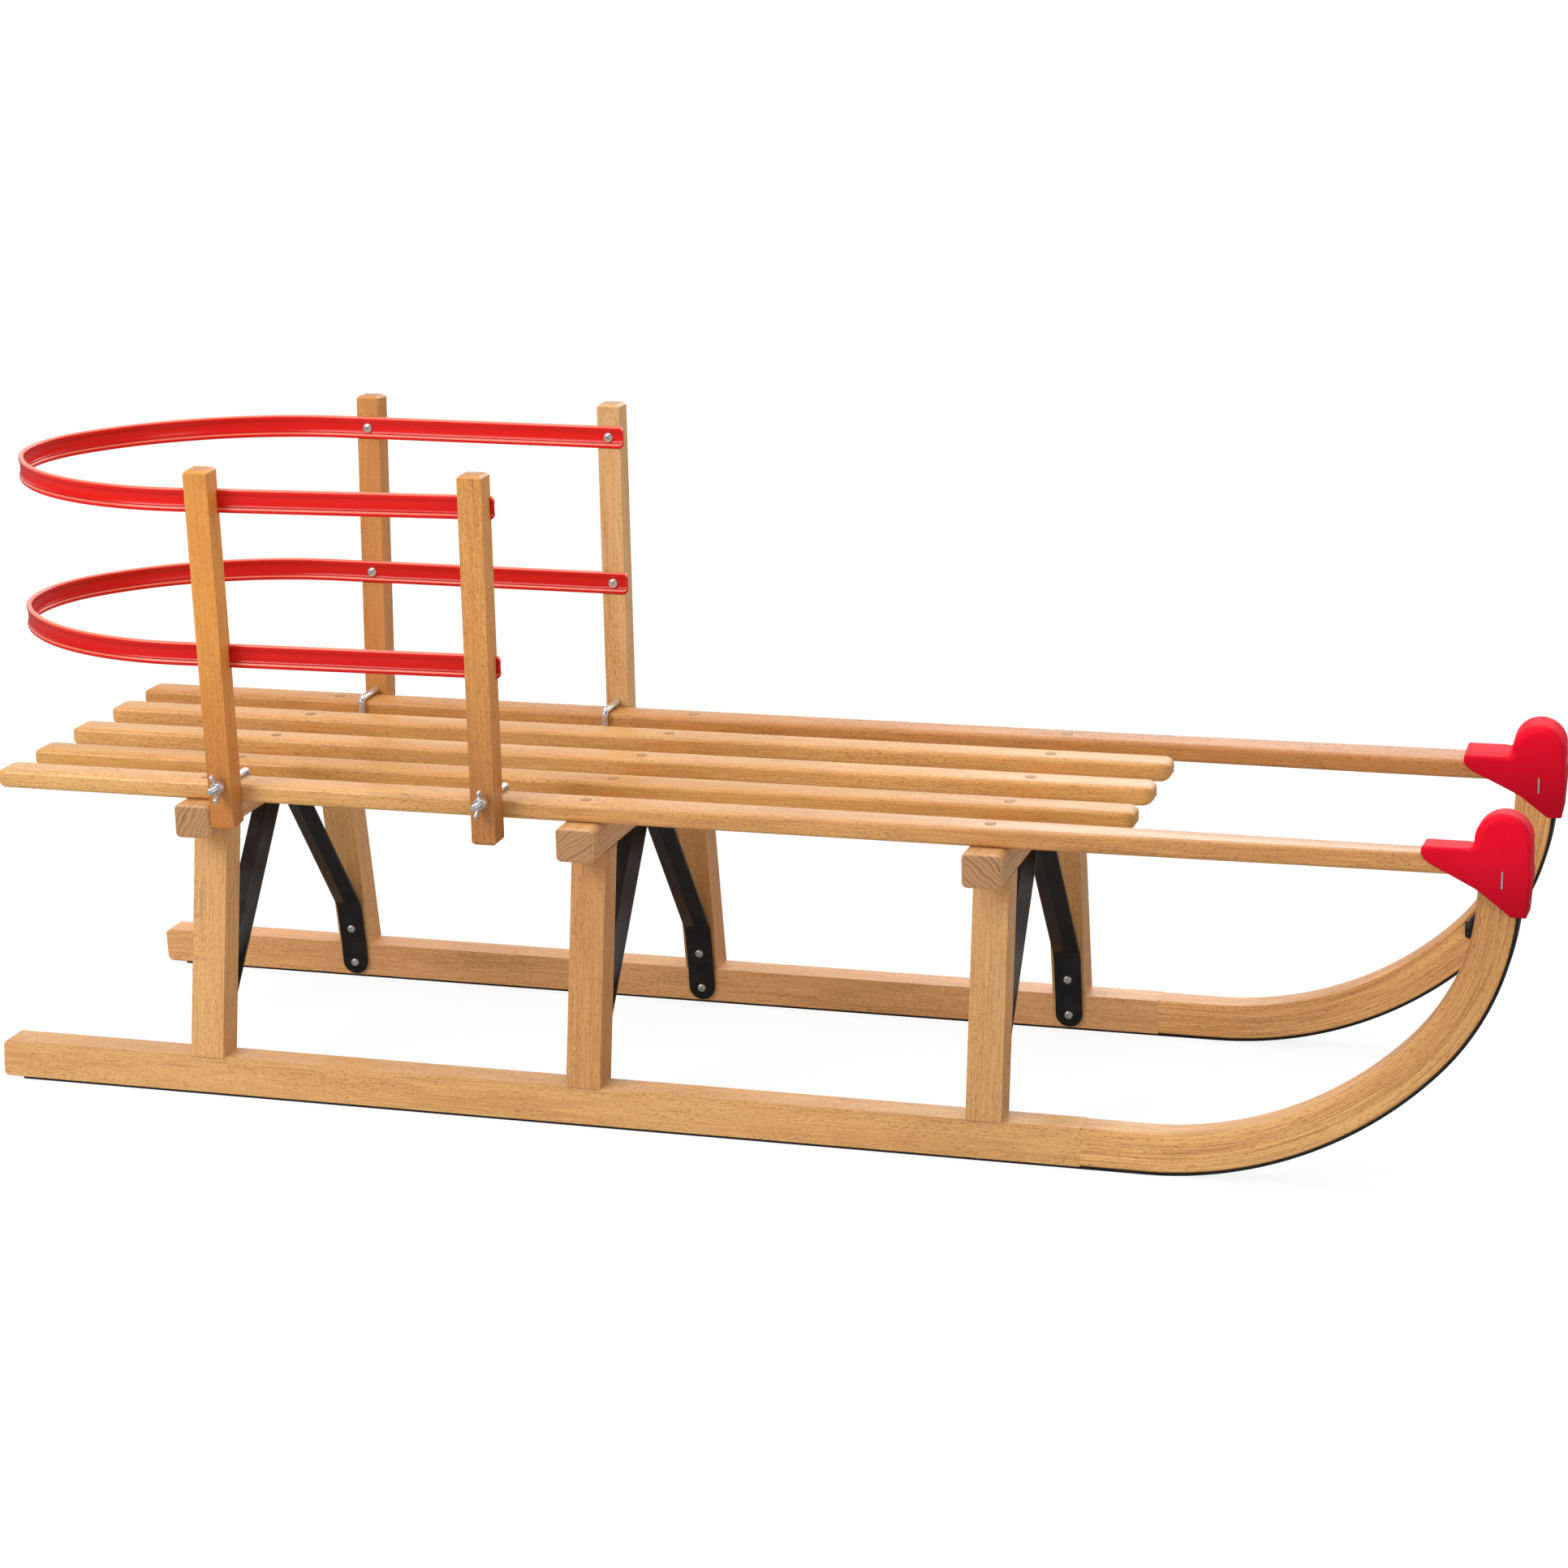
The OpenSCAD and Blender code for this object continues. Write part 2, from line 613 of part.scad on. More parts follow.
module post_frame(front) {
  if (front) children();
  else translate([0, post_in, seat_z]) rotate([-rear_lean, 0, 0])
    translate([0, -post_in, -seat_z]) children();
}
// side view of a post with its four corners cut
module post_outline() {
  far = post_s - post_chamfer;
  polygon([
    [0, post_z0 + post_chamfer], [post_chamfer, post_z0],
    [far, post_z0], [post_s, post_z0 + post_chamfer],
    [post_s, post_z1 - post_chamfer], [far, post_z1],
    [post_chamfer, post_z1], [0, post_z1 - post_chamfer]]);
}
module post(front, side) place() on_side(side) color(beech) difference() {
  x = post_x(front);
  post_frame(front) translate([x - post_s / 2, post_in, 0]) intersection() {
    translate([0, 0, post_z0]) cube([post_s, post_s, post_z1 - post_z0]);
    along_x(0, post_s) post_outline();
    along_y(0, post_s) post_outline();
  }
  for (hoop = [upper, lower]) {
    hoop_slot(hoop);
    at_hoop_screws(hoop) translate([0, 0, -4]) cylinder(r = hoop_screw_r + gap, h = 20);
  }
  translate([x, 0, hook_z]) rotate([-90, 0, 0]) cylinder(r = hook_hole_r, h = 200);
}

module hook_straight(z, end_y) translate([0, hook_in + hook_bend_r, z])
  rotate([-90, 0, 0]) cylinder(d = hook_d, h = end_y - hook_in - hook_bend_r);
module hook_bend(z, turn) translate([0, hook_in + hook_bend_r, z])
  quarter_bend(hook_bend_r, hook_d, turn);
// shank through the post, leg down the slat's inner edge, foot under it
module hook(front, side) place() on_side(side) color(zinc)
  translate([post_x(front), 0, 0]) {
    hook_straight(hook_z, 172);
    hook_bend(hook_z - hook_bend_r, 90);
    translate([0, hook_in, hook_low + hook_bend_r])
      cylinder(d = hook_d, h = hook_z - hook_low - 2 * hook_bend_r);
    hook_bend(hook_low + hook_bend_r, 180);
    hook_straight(hook_low, 130);
  }
module wing_nut(front, side) place() on_side(side) color(zinc) difference() {
  nut_y = post_in + post_s + (front ? 0.2 : 0.6);
  translate([post_x(front), nut_y, hook_z]) rotate([-90, 0, 0]) {
    cylinder(r1 = 4.9, r2 = 3.9, h = 7);
    for (wing = [-1, 1]) rotate([0, 0, wing * 90]) hull() {
      translate([2.5, -1.1, 0.8]) cube([1, 2.2, 5]);
      translate([8.2, 0, 8]) rotate([90, 0, 0])
        cylinder(r = 2.9, h = 1.8, center = true, $fn = 32);
    }
  }
  translate([post_x(front), 100, hook_z]) rotate([-90, 0, 0])
    cylinder(r = hook_hole_r, h = 100);
}

/* ---- nodes made from the shared pieces ---- */
module runner_rail_left() rail(left);
module runner_rail_right() rail(right);
module runner_bow_left() bow(left);
module runner_bow_right() bow(right);
module steel_strip_left() strip(left);
module steel_strip_right() strip(right);
module crossbeam_rear() crossbeam(beams[0]);
module crossbeam_middle() crossbeam(beams[1]);
module crossbeam_front() crossbeam(beams[2]);
module leg_rear_left() leg(beams[0], left);
module leg_rear_right() leg(beams[0], right);
module leg_middle_left() leg(beams[1], left);
module leg_middle_right() leg(beams[1], right);
module leg_front_left() leg(beams[2], left);
module leg_front_right() leg(beams[2], right);
module brace_rear() brace(beams[0]);
module brace_middle() brace(beams[1]);
module brace_front() brace(beams[2]);
module slat_outer_right() slat(-outer_y);
module slat_inner_right() slat(-inner_y);
module slat_centre() slat(0);
module slat_inner_left() slat(inner_y);
module slat_outer_left() slat(outer_y);
module nose_cap_left() nose_cap(left);
module nose_cap_right() nose_cap(right);
module post_rear_left() post(false, left);
module post_rear_right() post(false, right);
module post_front_left() post(true, left);
module post_front_right() post(true, right);
module upper_hoop() hoop_piece(upper);
module lower_hoop() hoop_piece(lower);
module hook_rear_left() hook(false, left);
module hook_rear_right() hook(false, right);
module hook_front_left() hook(true, left);
module hook_front_right() hook(true, right);
module wing_nut_rear_left() wing_nut(false, left);
module wing_nut_rear_right() wing_nut(false, right);
module wing_nut_front_left() wing_nut(true, left);
module wing_nut_front_right() wing_nut(true, right);

runner_rail_left();
runner_rail_right();
runner_bow_left();
runner_bow_right();
steel_strip_left();
steel_strip_right();
crossbeam_rear();
crossbeam_middle();
crossbeam_front();
leg_rear_left();
leg_rear_right();
leg_middle_left();
leg_middle_right();
leg_front_left();
leg_front_right();
brace_rear();
brace_middle();
brace_front();
slat_outer_right();
slat_inner_right();
slat_centre();
slat_inner_left();
slat_outer_left();
slat_screws();
slat_plugs();
brace_screws();
strip_screws();
nose_cap_left();
nose_cap_right();
nose_screws();
cap_staples();
pull_bow();
pull_bow_screws();
post_rear_left();
post_rear_right();
post_front_left();
post_front_right();
upper_hoop();
lower_hoop();
hoop_screws();
hook_rear_left();
hook_rear_right();
hook_front_left();
hook_front_right();
wing_nut_rear_left();
wing_nut_rear_right();
wing_nut_front_left();
wing_nut_front_right();
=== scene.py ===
import math
from itertools import count
import bpy
import bmesh
from mathutils import Vector, Matrix
from mathutils.geometry import delaunay_2d_cdt

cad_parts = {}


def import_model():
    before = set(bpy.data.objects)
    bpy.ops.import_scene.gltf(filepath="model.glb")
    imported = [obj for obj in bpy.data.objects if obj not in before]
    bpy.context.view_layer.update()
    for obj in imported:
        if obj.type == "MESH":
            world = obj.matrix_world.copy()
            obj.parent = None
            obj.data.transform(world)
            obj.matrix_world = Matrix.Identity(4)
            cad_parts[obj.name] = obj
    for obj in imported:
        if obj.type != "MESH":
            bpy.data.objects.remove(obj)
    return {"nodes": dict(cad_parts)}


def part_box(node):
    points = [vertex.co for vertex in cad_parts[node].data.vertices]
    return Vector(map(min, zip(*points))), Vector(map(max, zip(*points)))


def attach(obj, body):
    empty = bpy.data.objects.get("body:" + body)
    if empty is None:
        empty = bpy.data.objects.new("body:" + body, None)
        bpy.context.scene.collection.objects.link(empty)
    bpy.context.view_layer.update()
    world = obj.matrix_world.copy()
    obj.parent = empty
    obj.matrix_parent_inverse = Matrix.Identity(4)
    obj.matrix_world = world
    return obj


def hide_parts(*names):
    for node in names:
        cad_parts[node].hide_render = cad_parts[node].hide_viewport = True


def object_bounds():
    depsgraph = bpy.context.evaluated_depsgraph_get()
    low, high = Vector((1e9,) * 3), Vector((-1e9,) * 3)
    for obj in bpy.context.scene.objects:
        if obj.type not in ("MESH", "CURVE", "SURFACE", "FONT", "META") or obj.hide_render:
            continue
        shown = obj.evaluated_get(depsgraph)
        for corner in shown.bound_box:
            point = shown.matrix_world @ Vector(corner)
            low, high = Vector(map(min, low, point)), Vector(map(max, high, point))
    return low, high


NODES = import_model()["nodes"]
cad_lo, cad_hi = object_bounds()
cad_lo, cad_hi = list(cad_lo), list(cad_hi)


# ------------------------------------------------------------ frame measures
def centre_of(node):
    low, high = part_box(node)
    return (low + high) / 2


MM = 0.001
ALONG, ACROSS, UP = (1, 0, 0), (0, 1, 0), (0, 0, 1)
SIDES = (("left", 1), ("right", -1))             # name and sign of y
BEAM_X = {end: centre_of("crossbeam_" + end).x for end in ("rear", "middle", "front")}  # metres
POST_X = {end: centre_of("post_%s_left" % end).x for end in ("rear", "front")}          # metres
X_MIDDLE = BEAM_X["middle"]                      # metres
BEAM_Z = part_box("crossbeam_middle")[0].z / MM    # underside of the crossbeams
RUNNER_LEAN = 0.096                              # runner's y per height, leaning inwards
LEG_LEAN = 0.1786
RUNNER_ANGLE, LEG_ANGLE = math.atan(RUNNER_LEAN), math.atan(LEG_LEAN)
RUNNER_HALF = 11.5                               # half the runner's thickness


def runner_y(z):
    """middle of the runner's thickness at height z"""
    return 141.0 - RUNNER_LEAN * z


def runner_inner_y(z):
    return runner_y(z) - RUNNER_HALF


def leg_inner_y(z):
    return 121.7 + LEG_LEAN * (BEAM_Z - z) - 24.4


def place(x, y, z):
    """a point in millimetres as metres in the frame"""
    return Vector((X_MIDDLE + x * MM, y * MM, z * MM))


def box_mm(node):
    """low and high corners in millimetres"""
    return [((p.x - X_MIDDLE) / MM, p.y / MM, p.z / MM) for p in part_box(node)]


def smoothstep(t):
    t = max(0.0, min(1.0, t))
    return t * t * (3 - 2 * t)


def steps(start, stop, step):
    value = start
    while value < stop:
        yield value
        value += step


# -------------------------------------------------------------- mesh helpers
def add_object(name, data):
    item = bpy.data.objects.new(name, data)
    bpy.context.scene.collection.objects.link(item)
    return item


def shade_smooth(mesh):
    mesh.polygons.foreach_set("use_smooth", [True] * len(mesh.polygons))


def new_piece(name, verts, faces, smooth=True):
    mesh = bpy.data.meshes.new(name)
    mesh.from_pydata([tuple(v) for v in verts], [], faces)
    mesh.validate()
    mesh.update()
    shape = bmesh.new()
    shape.from_mesh(mesh)
    bmesh.ops.recalc_face_normals(shape, faces=shape.faces)
    shape.to_mesh(mesh)
    shape.free()
    if smooth:
        shade_smooth(mesh)
    return add_object(name, mesh)


def store_grain(piece, values):
    """one texture coordinate in millimetres per vertex"""
    layer = piece.data.attributes.new("grain", "FLOAT_VECTOR", "POINT")
    layer.data.foreach_set("vector", [c for value in values for c in value])


def loft(name, rings, grain=None):
    """quads between rings of equal length, flat ends"""
    size, last = len(rings[0]), (len(rings) - 1) * len(rings[0])
    faces = []
    for base in range(0, last, size):
        for k in range(size):
            after = (k + 1) % size
            faces.append((base + k, base + size + k, base + size + after, base + after))
    faces.append(tuple(range(size - 1, -1, -1)))
    faces.append(tuple(range(last, last + size)))
    piece = new_piece(name, [v for ring in rings for v in ring], faces)
    if grain:
        store_grain(piece, grain)
    return piece


def rounded_rect(width, height, radius, segments=5):
    """loop of (a, b) round a rectangle centred on the origin"""
    x, y = width / 2 - radius, height / 2 - radius
    loop = []
    for corner_x, corner_y, start in ((x, y, 0), (-x, y, 90), (-x, -y, 180), (x, -y, 270)):
        for i in range(segments + 1):
            angle = math.radians(start + 90 * i / segments)
            loop.append((corner_x + radius * math.cos(angle),
                         corner_y + radius * math.sin(angle)))
    return loop


def revolve(name, profile, segments):
    """profile of (radius, z) turned round Z; radius 0 at the ends closes it"""
    verts, faces, rows = [], [], []
    for radius, z in profile:
        radius, z = radius * MM, z * MM
        size = segments if radius > 1e-9 else 1
        rows.append(range(len(verts), len(verts) + size))
        for i in range(size):
            angle = 2 * math.pi * i / segments
            verts.append((radius * math.cos(angle), radius * math.sin(angle), z))
    for low, high in zip(rows, rows[1:]):
        for i in range(segments):
            j = (i + 1) % segments
            if len(low) == 1:
                faces.append((low[0], high[i], high[j]))
            elif len(high) == 1:
                faces.append((low[i], high[0], low[j]))
            else:
                faces.append((low[i], high[i], high[j], low[j]))
    return new_piece(name, verts, faces)


def apply_modifiers(piece):
    graph = bpy.context.evaluated_depsgraph_get()
    graph.update()
    mesh = bpy.data.meshes.new_from_object(piece.evaluated_get(graph))
    old = piece.data
    piece.modifiers.clear()
    piece.data = mesh
    bpy.data.meshes.remove(old)


def boolean(piece, other, operation):
    """joins or cuts with another piece, which is used up"""
    modifier = piece.modifiers.new("b", "BOOLEAN")
    modifier.operation = operation
    modifier.solver = "EXACT"
    modifier.object = other
    apply_modifiers(piece)
    bpy.data.objects.remove(other)


def add_bevel(piece, width, segments, angle=50):
    """eased edges; width in metres, on edges sharper than the angle"""
    bevel = piece.modifiers.new("ease", "BEVEL")
    bevel.width = width
    bevel.segments = segments
    bevel.limit_method = "ANGLE"
    bevel.angle_limit = math.radians(angle)
    return bevel


def soften(node, width, segments=3):
    """eased edges on a CAD node, by modifiers only; width in metres"""
    piece = NODES[node]
    shade_smooth(piece.data)
    piece.modifiers.new("weld", "WELD").merge_threshold = 0.000004
    if width:
        add_bevel(piece, width, segments, angle=32).miter_outer = "MITER_ARC"
    normals = piece.modifiers.new("wn", "WEIGHTED_NORMAL")
    normals.keep_sharp = True
    normals.weight = 60
    return piece


def take_mesh(piece):
    """the mesh alone, for placing copies"""
    mesh = piece.data
    bpy.data.objects.remove(piece)
    return mesh


def join(name, parts):
    """one piece from copies: parts is a list of (mesh, matrix)"""
    shape = bmesh.new()
    for mesh, matrix in parts:
        before = len(shape.verts)
        shape.from_mesh(mesh)
        shape.verts.ensure_lookup_table()
        bmesh.ops.transform(shape, matrix=matrix, verts=shape.verts[before:])
    mesh = bpy.data.meshes.new(name)
    shape.to_mesh(mesh)
    shape.free()
    shade_smooth(mesh)
    return add_object(name, mesh)


def axes(x, y, z, origin):
    """matrix whose columns are the three axes and the place"""
    return Matrix([(x[i], y[i], z[i], origin[i]) for i in range(3)] + [(0, 0, 0, 1)])


def look_along(direction, origin):
    """matrix with local Z along the direction and local Y near up"""
    z = Vector(direction).normalized()
    x = Vector(UP).cross(z).normalized()
    return axes(x, z.cross(x), z, origin)


def look_in(sign, angle, origin):
    """matrix with local Z towards the sled's middle, tilted down by the angle"""
    return look_along((0, -sign * math.cos(angle), -math.sin(angle)), origin)


def turned(matrix, degrees):
    return matrix @ Matrix.Rotation(math.radians(degrees), 4, "Z")


def set_material(piece, material):
    slots = piece.data.materials
    if slots:
        for i in range(len(slots)):
            slots[i] = material
    else:
        slots.append(material)


def finish(piece, material, node, body="sled_frame", crease=50):
    """shades the piece and hands it over in place of its CAD node; crease in degrees"""
    piece.data.set_sharp_from_angle(angle=math.radians(crease))
    set_material(piece, material)
    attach(piece, body)
    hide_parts(node)


# ---------------------------------------------------------------- materials
class Nodes:
    """builds a node tree; most calls return an output socket"""

    def __init__(self, tree):
        self.tree = tree
        tree.nodes.clear()

    def put(self, socket, value):
        if isinstance(value, bpy.types.NodeSocket):
            self.tree.links.new(value, socket)
            return
        if isinstance(value, (tuple, list, Vector)):
            value = tuple(value)
            if len(value) == 3 and len(socket.default_value) == 4:
                value += (1.0,)
        socket.default_value = value

    def add(self, kind, props=None, **inputs):
        """a node; inputs go by name, or by number as i0, i1 and so on"""
        node = self.tree.nodes.new("ShaderNode" + kind)
        for key, value in (props or {}).items():
            setattr(node, key, value)
        for key, value in inputs.items():
            by_number = key[0] == "i" and key[1:].isdigit()
            self.put(node.inputs[int(key[1:]) if by_number else key.replace("_", " ")], value)
        return node

    def node(self, kind, out=0, props=None, **inputs):
        return self.add(kind, props, **inputs).outputs[out]

    def math(self, operation, a, b=0.0, c=0.0, clamp=False):
        return self.node("Math", props={"operation": operation, "use_clamp": clamp},
                         i0=a, i1=b, i2=c)

    def times(self, a, b, clamp=False):
        return self.math("MULTIPLY", a, b, clamp=clamp)

    def plus(self, a, b):
        return self.math("ADD", a, b)

    def minus(self, a, b):
        return self.math("SUBTRACT", a, b)

    def vmath(self, operation, a, b=(0, 0, 0), out=0):
        return self.node("VectorMath", out, {"operation": operation}, i0=a, i1=b)

    def dot(self, a, b):
        return self.vmath("DOT_PRODUCT", a, b, out=1)

    def combine(self, x, y, z):
        return self.node("CombineXYZ", i0=x, i1=y, i2=z)

    def split(self, vector):
        return self.add("SeparateXYZ", i0=vector).outputs

    def noise(self, at, stretch=None, shift=None, scale=1.0, detail=2.0, rough=0.5):
        """stretch multiplies the coordinates axis by axis, shift moves them"""
        if stretch:
            at = self.vmath("MULTIPLY", at, stretch)
        if shift:
            at = self.vmath("ADD", at, shift)
        return self.node("TexNoise", Vector=at, Scale=scale, Detail=detail, Roughness=rough)

    def random(self, value):
        return self.node("TexWhiteNoise", props={"noise_dimensions": "1D"}, W=value)

    def ramp(self, value, span, to=(0.0, 1.0), smooth=True):
        """eases from to[0] to to[1] while the value crosses the span"""
        kind = "SMOOTHSTEP" if smooth else "LINEAR"
        return self.node("MapRange", props={"interpolation_type": kind},
                         i0=value, i1=span[0], i2=span[1], i3=to[0], i4=to[1])

    def mix(self, base, over, by, blend="MIX"):
        props = {"data_type": "RGBA", "blend_type": blend, "clamp_factor": True}
        return self.node("Mix", 2, props, i0=by, i6=base, i7=over)

    def multiply(self, colour, factor):
        return self.mix(colour, over=factor, by=1.0, blend="MULTIPLY")

    def coords(self):
        return self.node("TexCoord", "Object")

    def coords_mm(self):
        return self.vmath("MULTIPLY", self.coords(), (1000, 1000, 1000))

    def normal(self):
        return self.node("TexCoord", "Normal")

    def grain(self):
        return self.node("Attribute", "Vector", {"attribute_name": "grain"})

    def bump(self, height, strength, distance=0.0002):
        """distance in metres"""
        return self.node("Bump", Strength=strength, Distance=distance, Height=height)


class Surface(Nodes):
    """a material with a Principled shader"""

    def __init__(self, name):
        self.material = bpy.data.materials.new(name)
        self.material.use_nodes = True
        super().__init__(self.material.node_tree)
        self.output = self.add("OutputMaterial")
        self.shader = self.add("BsdfPrincipled")
        self.put(self.output.inputs[0], self.shader.outputs[0])

    def set(self, **inputs):
        for key, value in inputs.items():
            self.put(self.shader.inputs[key.replace("_", " ")], value)
        return self.material


def wood(name, grain=None, across=None, *, seed, centre, tint, deep=(0.52, 0.275, 0.10),
         ring=0.30, red=0.0, streak=0.0, fade=None, coat=0.08):
    """Beech. grain and across are directions; with no grain the mesh carries its own
    coordinates. centre places the growth rings' axis, ring is their strength, and fade is
    (direction, start, end, colour factor) with start and end in metres."""
    net = Surface(name)
    if grain:
        grain = Vector(grain).normalized()
        side = Vector(across)
        side = (side - grain * side.dot(grain)).normalized()
        at = net.coords_mm()
        at = net.combine(*[net.dot(at, axis) for axis in (grain, side, grain.cross(side))])
    else:
        at = net.vmath("MULTIPLY", net.grain(), (1, 1, 1))
    shift = (seed * 137.0, seed * 3.1, seed * 1.7)
    at = net.vmath("ADD", at, shift)
    _, y, z = net.split(at)
    # growth rings, slowly wandering along the grain
    sway = net.noise(at, stretch=(0.0042, 0.022, 0.022))
    waver = net.noise(at, stretch=(0.018, 0.11, 0.11))
    y = net.plus(y, centre[0] - shift[1])
    z = net.plus(z, centre[1] - shift[2])
    radius = net.math("SQRT", net.plus(net.times(y, y), net.times(z, z)))
    for wave, reach in ((sway, 20.0), (waver, 3.0)):
        radius = net.math("MULTIPLY_ADD", wave, reach, radius)
    ring_width = 3.2
    rings = net.math("DIVIDE", radius, ring_width)
    phase = net.math("FRACT", rings)
    late = net.times(net.ramp(phase, span=(0.25, 0.93)), net.ramp(phase, span=(1.0, 0.95)))
    each = net.random(net.math("FLOOR", rings))
    late = net.times(late, net.ramp(each, span=(0.0, 1.0), to=(0.35, 1.0), smooth=False))
    # broad tone, fine lines along the grain
    broad = net.noise(at, stretch=(0.0055, 0.055, 0.055), detail=3.0, rough=0.55)
    lines = net.noise(at, stretch=(0.030, 1.25, 1.25), detail=3.0, rough=0.65)
    tone = net.plus(net.ramp(broad, span=(0.28, 0.72), to=(0.0, 0.62)), net.times(late, ring))
    tone = net.plus(tone, net.ramp(lines, span=(0.34, 0.68), to=(-0.38, 0.66)))
    # silver-grain flecks: short dark dashes along the grain
    short = net.noise(at, stretch=(0.36, 1.7, 1.7), detail=1.0)
    long = net.noise(at, stretch=(0.20, 1.0, 1.0), shift=(7.3, 1.1, 5.2), detail=1.0)
    fleck = net.math("MAXIMUM", net.ramp(short, span=(0.57, 0.67)),
                     net.times(net.ramp(long, span=(0.62, 0.71)), 0.9))
    dense = net.noise(at, stretch=(0.012, 0.06, 0.06))
    fleck = net.times(fleck, net.ramp(dense, span=(0.3, 0.7), to=(0.45, 1.0)))
    colour = net.mix((0.70, 0.43, 0.195), over=deep, by=net.times(tone, 0.75, clamp=True))
    colour = net.mix(colour, over=(0.28, 0.112, 0.032), by=net.times(fleck, 0.72))
    # pinkish and yellowish drift
    drift = net.noise(at, stretch=(0.003, 0.03, 0.03), shift=(3.1, 9.7, 4.4))
    colour = net.mix(colour, over=(0.62, 0.33, 0.135),
                     by=net.ramp(drift, span=(0.42, 0.75), to=(0.0, 0.26)))
    # odd dark mineral streaks
    mineral = net.noise(at, stretch=(0.0065, 0.17, 0.17), shift=(1.7, 2.9, 8.8),
                        detail=3.0, rough=0.6)
    colour = net.mix(colour, over=(0.30, 0.145, 0.06),
                     by=net.ramp(mineral, span=(0.665 - streak, 0.76), to=(0.0, 0.55)))
    if red:
        colour = net.mix(colour, over=(0.50, 0.18, 0.045), by=red)
    if grain:                                    # dark pores and rings on the end grain
        facing = net.math("ABSOLUTE", net.dot(net.normal(), grain))
        pores = net.noise(at, stretch=(0.1, 2.6, 2.6), rough=0.6)
        cut = net.mix((0.50, 0.285, 0.135), over=(0.25, 0.115, 0.050),
                      by=net.times(late, 0.95))
        cut = net.mix(cut, over=(0.24, 0.11, 0.046),
                      by=net.ramp(pores, span=(0.50, 0.66), to=(0.0, 0.6)))
        colour = net.mix(colour, over=cut, by=net.ramp(facing, span=(0.72, 0.93)))
    colour = net.multiply(colour, tint)
    # colour ramp along a direction; on the slats it is painted shade towards the front
    if fade:
        direction, start, end, factor = fade
        amount = net.ramp(net.dot(net.coords(), direction), span=(start, end))
        colour = net.mix(colour, over=net.multiply(colour, factor), by=amount)
    rough = net.plus(net.ramp(lines, span=(0.3, 0.7), to=(0.36, 0.47)),
                     net.times(fleck, 0.12))
    height = net.minus(net.times(lines, 0.5), net.times(fleck, 0.7))
    height = net.minus(height, net.times(late, 0.25))
    return net.set(Base_Color=colour, Roughness=rough,
                   Normal=net.bump(height, strength=0.35, distance=0.00018),
                   Specular_IOR_Level=0.45, Coat_Weight=coat, Coat_Roughness=0.22)


